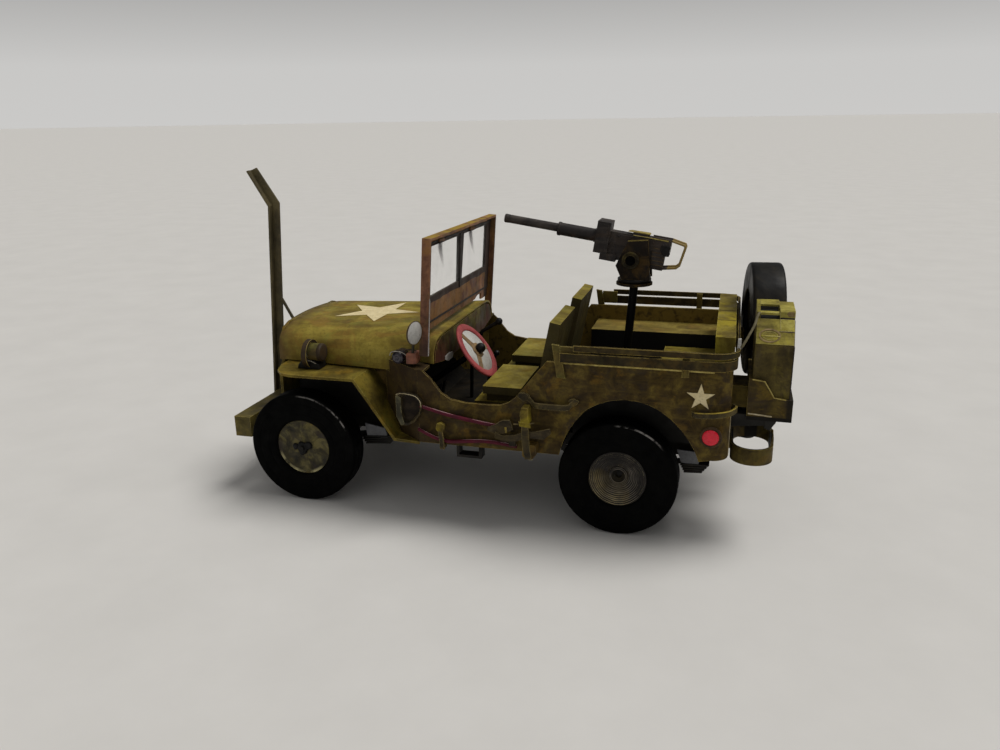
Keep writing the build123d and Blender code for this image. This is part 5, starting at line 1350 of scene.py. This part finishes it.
def oval_ring(name, cx, cb, rx, rb, w, mat, lift=0.16):
    n = 40
    o = [(cx + (rx) * math.cos(2 * math.pi * i / n), cb + rb * math.sin(2 * math.pi * i / n)) for i in range(n)]
    q = [(cx + (rx - w) * math.cos(2 * math.pi * i / n), cb + (rb - w / 6.7) * math.sin(2 * math.pi * i / n))
         for i in range(n)]
    return strip(name, o, q, on_shoulder(lift), mat, bevel=0.05, slot="can_card")


oval_ring("can_press_ring", -33.0, 0.35, 2.4, 0.27, 0.42, PRESS)
oval_ring("can_press_ring_in", -33.0, 0.35, 1.7, 0.17, 0.2, CAN_TOP, 0.13)
slab("can_press_bar", [(-35.2, 0.31), (-31.2, 0.31), (-31.2, 0.35), (-35.2, 0.35)], on_shoulder(0.2), CAN_BAR, bevel=0.04,
     slot="can_card")
# cap block, left end plate and the two grip bars over the dark openings
slab("can_cap", [(11.45, 55.2), (21.1, 55.2), (21.0, 56.9), (20.6, 57.2), (11.45, 57.35)], along_x(-38.4, -35.05), CAN_BAR,
     bevel=0.15, slot="can_card")
slab("can_cap_patch", [(-38.2, 55.9), (-36.9, 55.8), (-36.5, 56.5), (-36.9, 57.0), (-38.1, 57.0)], across(20.98, 21.1),
     PRESS, bevel=0.04, slot="can_card")
slab("can_cap_foot", box_pts(-38.3, -35.2, 55.22, 55.6), across(21.05, 21.35), SEAL, bevel=0.04, slot="can_card")
slab("can_end_plate", [(11.45, 55.2), (20.9, 55.2), (20.8, 56.7), (14.0, 57.5), (11.45, 57.7)], along_x(-30.8, -30.0), CAN_TOP,
     bevel=0.12, slot="can_card")
slab("can_bar_near", [(19.3, 56.05), (20.75, 56.0), (20.7, 56.62), (19.3, 56.7)], along_x(-35.1, -30.75), CAN_BAR,
     bevel=0.12, slot="can_card")
slab("can_bar_far", [(11.5, 56.85), (15.2, 56.8), (15.2, 57.35), (14.6, 57.62), (11.5, 57.75)], along_x(-35.1, -30.75),
     CAN_BAR, bevel=0.12, slot="can_card")
slab("can_edge_dark", box_pts(-38.52, -38.3, 34.0, 50.1), across(25.7, 26.04), SEAL, bevel=0.03, slot="can_card")


def ribbon(name, line, w, y0, y1, mat, **kw):
    """Narrow strip of even width along (x, z) points, made of quads."""
    n = len(line)
    v = []
    for i, (x, z) in enumerate(line):
        a, b = line[max(i - 1, 0)], line[min(i + 1, n - 1)]
        d = Vector((b[0] - a[0], b[1] - a[1])).normalized()
        px, pz = -d.y * w / 2, d.x * w / 2
        for y in (y0, y1):
            v += [D(x + px, y, z + pz), D(x - px, y, z - pz)]
    f = []
    for i in range(n - 1):
        a, b = 4 * i, 4 * i + 4
        f += [[a, b, b + 1, a + 1], [a + 2, a + 3, b + 3, b + 2], [a, a + 2, b + 2, b], [a + 1, b + 1, b + 3, a + 3]]
    f += [[0, 1, 3, 2], [4 * n - 4, 4 * n - 2, 4 * n - 1, 4 * n - 3]]
    return piece(name, v, f, mat, **kw)


ribbon("can_cheek_edge", [(-30.0, 42.2), (-31.3, 42.05), (-32.7, 41.85), (-33.8, 40.1), (-35.0, 38.1), (-36.2, 37.95),
                          (-37.6, 37.75)], 0.26, 26.74, 26.9, LIP)
ribbon("can_tray_line", [(-29.5, 33.95), (-31.0, 33.85), (-33.0, 33.7), (-34.8, 33.55)], 0.3, 26.74, 26.92, EDGE)
ribbon("tail_top_line_a", [(-25.6, 51.22), (-21.3, 51.22)], 0.1, 7.5, 7.8, BROWN)
ribbon("tail_top_line_b", [(-25.6, 51.22), (-21.3, 51.22)], 0.1, -3.4, -3.15, BROWN)
# bracket that carries the tray from below
slab("tray_bracket", [(-25.75, 33.15), (-25.75, 29.8), (-29.0, 30.2), (-33.4, 30.6), (-33.7, 33.15)], across(13.0, 25.2),
     CHASSIS, bevel=0.1)
slab("tray_bracket_end", [(-33.2, 33.1), (-35.6, 33.1), (-36.0, 31.6), (-34.6, 29.4), (-33.3, 30.2)], across(21.0, 25.4),
     CHASSIS, bevel=0.25)
# strap that ties the can to the tail corner, and a bare card end beside it
tube("can_strap", [(-30.5, 20.9, 56.5), (-30.1, 22.6, 56.0), (-29.5, 25.4, 54.6), (-28.5, 27.6, 52.9),
                   (-27.4, 29.1, 51.0), (-26.9, 29.4, 50.2)], 0.24, plain_noise("can_strap_paint", (70, 64, 46), (112, 104, 80),
     rough=(0.6, 0.8), scale=300, seed=12.6, spec=0.15), ring=8, flat=1.3, slot="body_card")
slab("tail_card_end", [(-26.95, 49.2), (-26.1, 49.2), (-26.2, 51.6), (-26.9, 51.7)], across(26.6, 27.3), WHITE,
     bevel=0.05)

# lower and upper edge of the rolled bumperettes
LZ0, LZ1 = 21.4, 25.4
for side, q in (("left", 1), ("right", -1)):
    slab("loop_seam_%s" % side, [(13.3, LZ0 + 0.1), (19.4, LZ0 + 0.05), (19.7, LZ1 - 0.1), (17.4, LZ1 + 0.35), (14.6, LZ1 + 0.5),
                                 (13.3, LZ1 + 0.1)],
         (lambda a, b, t, q=q: (-36.0 - 0.2 * t, q * a, b)), CLAMP_LOW, bevel=0.05)
    slab("loop_seam_rub_%s" % side, [(14.3, LZ0 + 0.2), (15.7, LZ0 + 0.15), (15.5, LZ1 + 0.3), (14.5, LZ1 + 0.35)],
         (lambda a, b, t, q=q: (-36.16 - 0.1 * t, q * a, b)), EDGE, bevel=0.03)
    # bare edge of the side card where it ends at the tail
    slab("tail_corner_edge_%s" % side, [(27.8, 23.5), (28.2, 23.5), (28.15, 33.2), (27.85, 33.2)],
         (lambda a, b, t, q=q: (-25.66 - 0.18 * t, q * a, b)), EDGE, bevel=0.02)

# ---------------------------------------------------------------- reflectors
for side, s in (("left", 1), ("right", -1)):
    c, a = (-21.6, 0, 29.3), (0, s, 0)
    r0 = lathe("reflector_ring_%s" % side, [(0.02, 32.02), (2.58, 32.02), (2.6, 32.3), (2.5, 32.5), (2.2, 32.55),
                                            (1.95, 32.42), (0.02, 32.4)], c, a, RING_BROWN, segs=56, wob=0.1, seed=s * 2.0,
               closed=False, slot="reflector_card")
    if s > 0:
        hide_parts("reflectors")
    lathe("reflector_red_%s" % side, [(0.02, 32.84), (1.2, 32.82), (1.75, 32.7), (1.92, 32.5), (1.9, 32.38),
                                      (0.02, 32.38)], c, a, RED, segs=48, closed=False, slot="reflector_card")

# ---------------------------------------------------------------- grille lamps
for side, s in (("left", 1), ("right", -1)):
    c = (0, s * 14.6, 38.4)
    g0 = lathe("head_lamp_%s" % side, [(0.02, 92.3), (1.6, 92.4), (2.6, 92.9), (2.78, 93.6), (2.78, 95.5), (2.6, 95.58),
                                       (2.45, 95.5), (2.4, 95.2), (0.02, 95.1)], c, (1, 0, 0), BROWN, segs=56,
               closed=False, slot="lamp_card")
    if s > 0:
        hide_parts("grille_lamps")
    lathe("head_lens_%s" % side, [(0.02, 95.57), (0.9, 95.53), (1.7, 95.42), (2.3, 95.2), (2.3, 95.12), (0.02, 95.12)],
          c, (1, 0, 0), MIRROR, segs=56, closed=False, slot="lamp_card")
    lathe("marker_lamp_%s" % side, [(0.02, 95.4), (1.15, 95.4), (1.18, 95.9), (1.0, 96.05), (0.8, 95.95), (0.7, 96.15),
                                    (0.02, 96.25)], (0, s * 14.6, 31.8), (1, 0, 0), BROWN, segs=36, closed=False,
          slot="lamp_card")

# ---------------------------------------------------------------- inner walls that stand on the fender slopes under the bonnet
WALL = painted("bonnet_wall_paint", (56, 42, 22), (80, 62, 32), (106, 86, 42), patch=(110, 82, 34), patch_mix=0.4,
               green=(58, 48, 34), seed=11.9, scale=2.3, spec=0.12)
for q, side in ((1, "left"), (-1, "right")):
    slab("bonnet_wall_%s" % side, [(67.6, 36.95), (67.2, 38.8), (60.0, 38.8), (60.0, 25.9)],
         (lambda a, b, t, q=q: (a, q * (19.55 + 0.4 * t), b)), WALL, bevel=0.03)

# ---------------------------------------------------------------- bare inner card seen behind the wheels
for side, q in (("left", 1), ("right", -1)):
    at = (lambda a, b, t, q=q: (a, q * (20.3 + 0.5 * t), b))
    slab("inner_card_rear_%s" % side, [(-13.6, 20.9), (-19.4, 20.6), (-19.0, 17.3), (-14.8, 17.5)], at, DULL, bevel=0.05)
    slab("inner_card_front_%s" % side, [(64.6, 19.6), (70.4, 20.6), (70.0, 17.0), (63.8, 16.6)], at, DULL, bevel=0.05)
    for k in range(4):
        z = 17.35 - 0.62 * k
        slab("stack_rear_%s_%d" % (side, k + 1), [(-14.6 - 0.3 * k, z), (-21.6 + 0.5 * k, z + 0.25),
                                                 (-21.4 + 0.5 * k, z - 0.2), (-14.6 - 0.3 * k, z - 0.45)],
             (lambda a, b, t, q=q: (a, q * (15.2 + 5.9 * t), b)), CHASSIS, bevel=0.05)
        slab("stack_front_%s_%d" % (side, k + 1), [(71.6 - 0.4 * k, z - 0.4), (62.2 + 0.3 * k, z + 0.25),
                                                  (62.2 + 0.3 * k, z - 0.2), (71.6 - 0.4 * k, z - 0.85)],
             (lambda a, b, t, q=q: (a, q * (15.2 + 5.9 * t), b)), CHASSIS, bevel=0.05)

# ---------------------------------------------------------------- gun trim
GE = math.radians(9.0)
GP = Vector((1.4, 0.0, 64.6))
GR = Matrix.Rotation(-GE, 4, "Y")


def gun_at(x, y, z):
    return tuple(GP + (GR @ Vector((x, y, z))))


def gun_slab(name, pts, y0, y1, mat, bevel=0.08, body="gun"):
    return slab(name, pts, lambda a, b, t: gun_at(a, y0 + (y1 - y0) * t, b), mat, bevel=bevel, body=body,
                slot="gun_card")


GAX = tuple(GR @ Vector((1, 0, 0)))
lathe("gun_muzzle", [(0.55, 33.9), (1.14, 33.9), (1.16, 34.9), (1.05, 35.08), (0.62, 35.08), (0.55, 34.6)],
      gun_at(0, 0, 4.45), GAX, GUN, segs=32, body="gun", slot="gun_card")
lathe("gun_muzzle_plug", [(0.02, 34.7), (0.6, 34.7), (0.6, 34.4), (0.02, 34.4)], gun_at(0, 0, 4.45), GAX, BLACK,
      segs=24, body="gun", slot="gun_card", closed=False)
for i, x in enumerate((10.4, 20.1)):
    lathe("gun_collar_%d" % (i + 1), [(1.2, x - 0.35), (1.78, x - 0.35), (1.8, x + 0.3), (1.2, x + 0.35)],
          gun_at(0, 0, 4.25), GAX, GUN, segs=32, body="gun", slot="gun_card")
for s, tag in ((1, "left"), (-1, "right")):
    y = s * 1.9
    gun_slab("gun_cover_%s" % tag, [(-8.3, 5.95), (4.6, 5.95), (4.6, 4.9), (-2.0, 4.9), (-2.6, 4.5), (-8.3, 4.5)], y,
             y + s * 0.14, GUN)
    gun_slab("gun_plate_%s" % tag, [(-8.0, 2.6), (-5.2, 2.6), (-5.2, -1.2), (-8.0, -1.2)], y, y + s * 0.12, GUN)
    for k, (px, pz) in enumerate(((-7.4, 5.2), (-4.6, 5.4), (-7.4, 2.0), (-5.8, -0.6), (4.2, 5.4))):
        lathe("gun_rivet_%s_%d" % (tag, k + 1), [(0.02, 0.3), (0.16, 0.27), (0.28, 0.12), (0.3, 0.0)],
              gun_at(px, y, pz), (0, s, 0), GUN, segs=14, closed=False, body="gun", slot="gun_card")
    # block cheeks
    gun_slab("gun_block_cheek_%s" % tag, [(7.0, 1.0), (9.5, 1.0), (9.5, 7.9), (7.0, 7.9)], s * 3.2, s * 3.3, GUN)
    slab("cradle_top_edge_%s" % tag, [(-2.9, 70.0), (-2.9, 69.8), (2.2, 69.5), (2.2, 69.7)],
         (lambda a, b, t, q=s: (a, q * (3.30 + 0.12 * t), b)), GOLDLINE, bevel=0.02, body="gun_mount", slot="cradle_card")
    # trunnion ring on the cradle, and a near-black disc at its centre: painted shade of the hole
    lathe("cradle_ring_%s" % tag, [(1.3, 3.5), (2.3, 3.5), (2.3, 3.86), (2.1, 3.96), (1.85, 3.92), (1.75, 3.8),
                                   (1.6, 3.8), (1.5, 3.95), (1.35, 3.95), (1.3, 3.8)], (1.4, 0, 64.6), (0, s, 0), CRADLE_RING,
          segs=48, wob=0.06, seed=s * 4.0, body="gun_mount", slot="cradle_card")
    lathe("cradle_hole_%s" % tag, [(0.02, 3.84), (1.1, 3.84), (1.34, 3.8), (1.34, 3.5), (0.02, 3.5)], (1.4, 0, 64.6), (0, s, 0),
          plain_noise("cradle_hole_paint_%s" % tag, (3, 3, 3), (8, 7, 7), rough=(0.7, 0.9), spec=0.05), segs=32, closed=False,
          body="gun_mount", slot="cradle_card")
gun_slab("gun_sight_leaf", [(-3.6, 6.95), (2.2, 6.9), (1.4, 7.1), (-3.4, 7.22)], -1.3, 1.3, GOLDLINE, bevel=0.05)
gun_slab("gun_rear_knob", [(-6.9, 5.0), (-8.6, 5.2), (-9.3, 4.8), (-8.9, 4.2), (-9.4, 3.3), (-9.2, 2.5), (-7.8, 2.4),
                           (-7.2, 3.2), (-6.8, 4.0)], 1.5, 2.5, BLACK, bevel=0.15)
for k in range(5):
    gun_slab("gun_side_line_%d" % (k + 1), [(-8.2, 4.1 - 1.05 * k), (-4.8, 4.1 - 1.05 * k), (-4.8, 3.92 - 1.05 * k),
                                            (-8.2, 3.92 - 1.05 * k)], 2.0, 2.09, BROWN, bevel=0.02)
gun_slab("gun_top_rub_left", [(-8.4, 6.44), (-3.0, 6.42), (0.6, 6.34), (0.6, 6.24), (-3.0, 6.24), (-8.4, 6.12)], 1.86, 2.06, LIP, bevel=0.02)
gun_slab("gun_top_strap", [(-8.4, 6.3), (0.8, 6.3), (0.8, 6.42), (-8.4, 6.42)], -1.7, 1.7, GUN, bevel=0.05)
# turntable: dark upper disc over the bare edge of the lower one
lathe("turntable_edge", [(4.2, 57.97), (4.68, 57.97), (4.7, 58.2), (4.2, 58.2)], (0.6, 0, 0), (0, 0, 1), LIP,
      segs=56, body="gun_mount", slot="cradle_card")
lathe("turntable_paint", [(0.02, 59.62), (4.28, 59.62), (4.36, 59.5), (4.36, 58.62), (0.02, 58.6)], (0.6, 0, 0),
      (0, 0, 1), BLACK, segs=56, closed=False, body="gun_mount", slot="cradle_card")

# ---------------------------------------------------------------- floor, light
me = bpy.data.meshes.new("ground")
n = 48
v = [(0, 0, 0)] + [(20 * math.cos(2 * math.pi * i / n), 20 * math.sin(2 * math.pi * i / n), 0) for i in range(n)]
me.from_pydata(v, [], [[0, i + 1, (i + 1) % n + 1] for i in range(n)])
ground = bpy.data.objects.new("ground", me)
scene.collection.objects.link(ground)
gm = Mat("ground_paint")
gn = gm.noise(40, 4, 0.6)
gm.finish(gm.ramp(gn, [(0.3, rgb(203, 201, 198)), (0.7, rgb(208, 206, 203))]), 0.85, None, 0.2)
me.materials.append(gm.m)

world = bpy.data.worlds.new("studio")
scene.world = world
world.use_nodes = True
wt = world.node_tree
bg = wt.nodes["Background"]
wc = wt.nodes.new("ShaderNodeTexCoord")
wx = wt.nodes.new("ShaderNodeSeparateXYZ")
wm = wt.nodes.new("ShaderNodeMapRange")
wr = wt.nodes.new("ShaderNodeValToRGB")
wm.inputs["From Min"].default_value = -0.05
wm.inputs["From Max"].default_value = 1.0
wt.links.new(wc.outputs["Generated"], wx.inputs[0])
wt.links.new(wx.outputs[2], wm.inputs["Value"])
wt.links.new(wm.outputs["Result"], wr.inputs["Fac"])
we = wr.color_ramp.elements
while len(we) < 5:
    we.new(0.5)
for el, (p, c) in zip(we, [(0.0, 0.60), (0.10, 0.58), (0.30, 0.12), (0.6, 0.22), (1.0, 0.38)]):
    el.position = p
    el.color = (c, c * 0.99, c * 0.97, 1)
wt.links.new(wr.outputs["Color"], bg.inputs[0])
bg.inputs[1].default_value = 1.0


def sun(name, direction, angle, power, color=(1, 1, 1)):
    l = bpy.data.lights.new(name, "SUN")
    l.angle = math.radians(angle)
    l.energy = power
    l.color = color
    o = bpy.data.objects.new(name, l)
    o.rotation_euler = (-Vector(direction)).to_track_quat("-Z", "Y").to_euler()
    scene.collection.objects.link(o)
    return o


sun("key", (-0.42, -0.16, 0.88), 30, 2.25, (1.0, 0.985, 0.95))
sun("fill", (0.1, 0.85, 0.5), 60, 0.16, (0.96, 0.98, 1.0))
scene.view_settings.view_transform = "Standard"
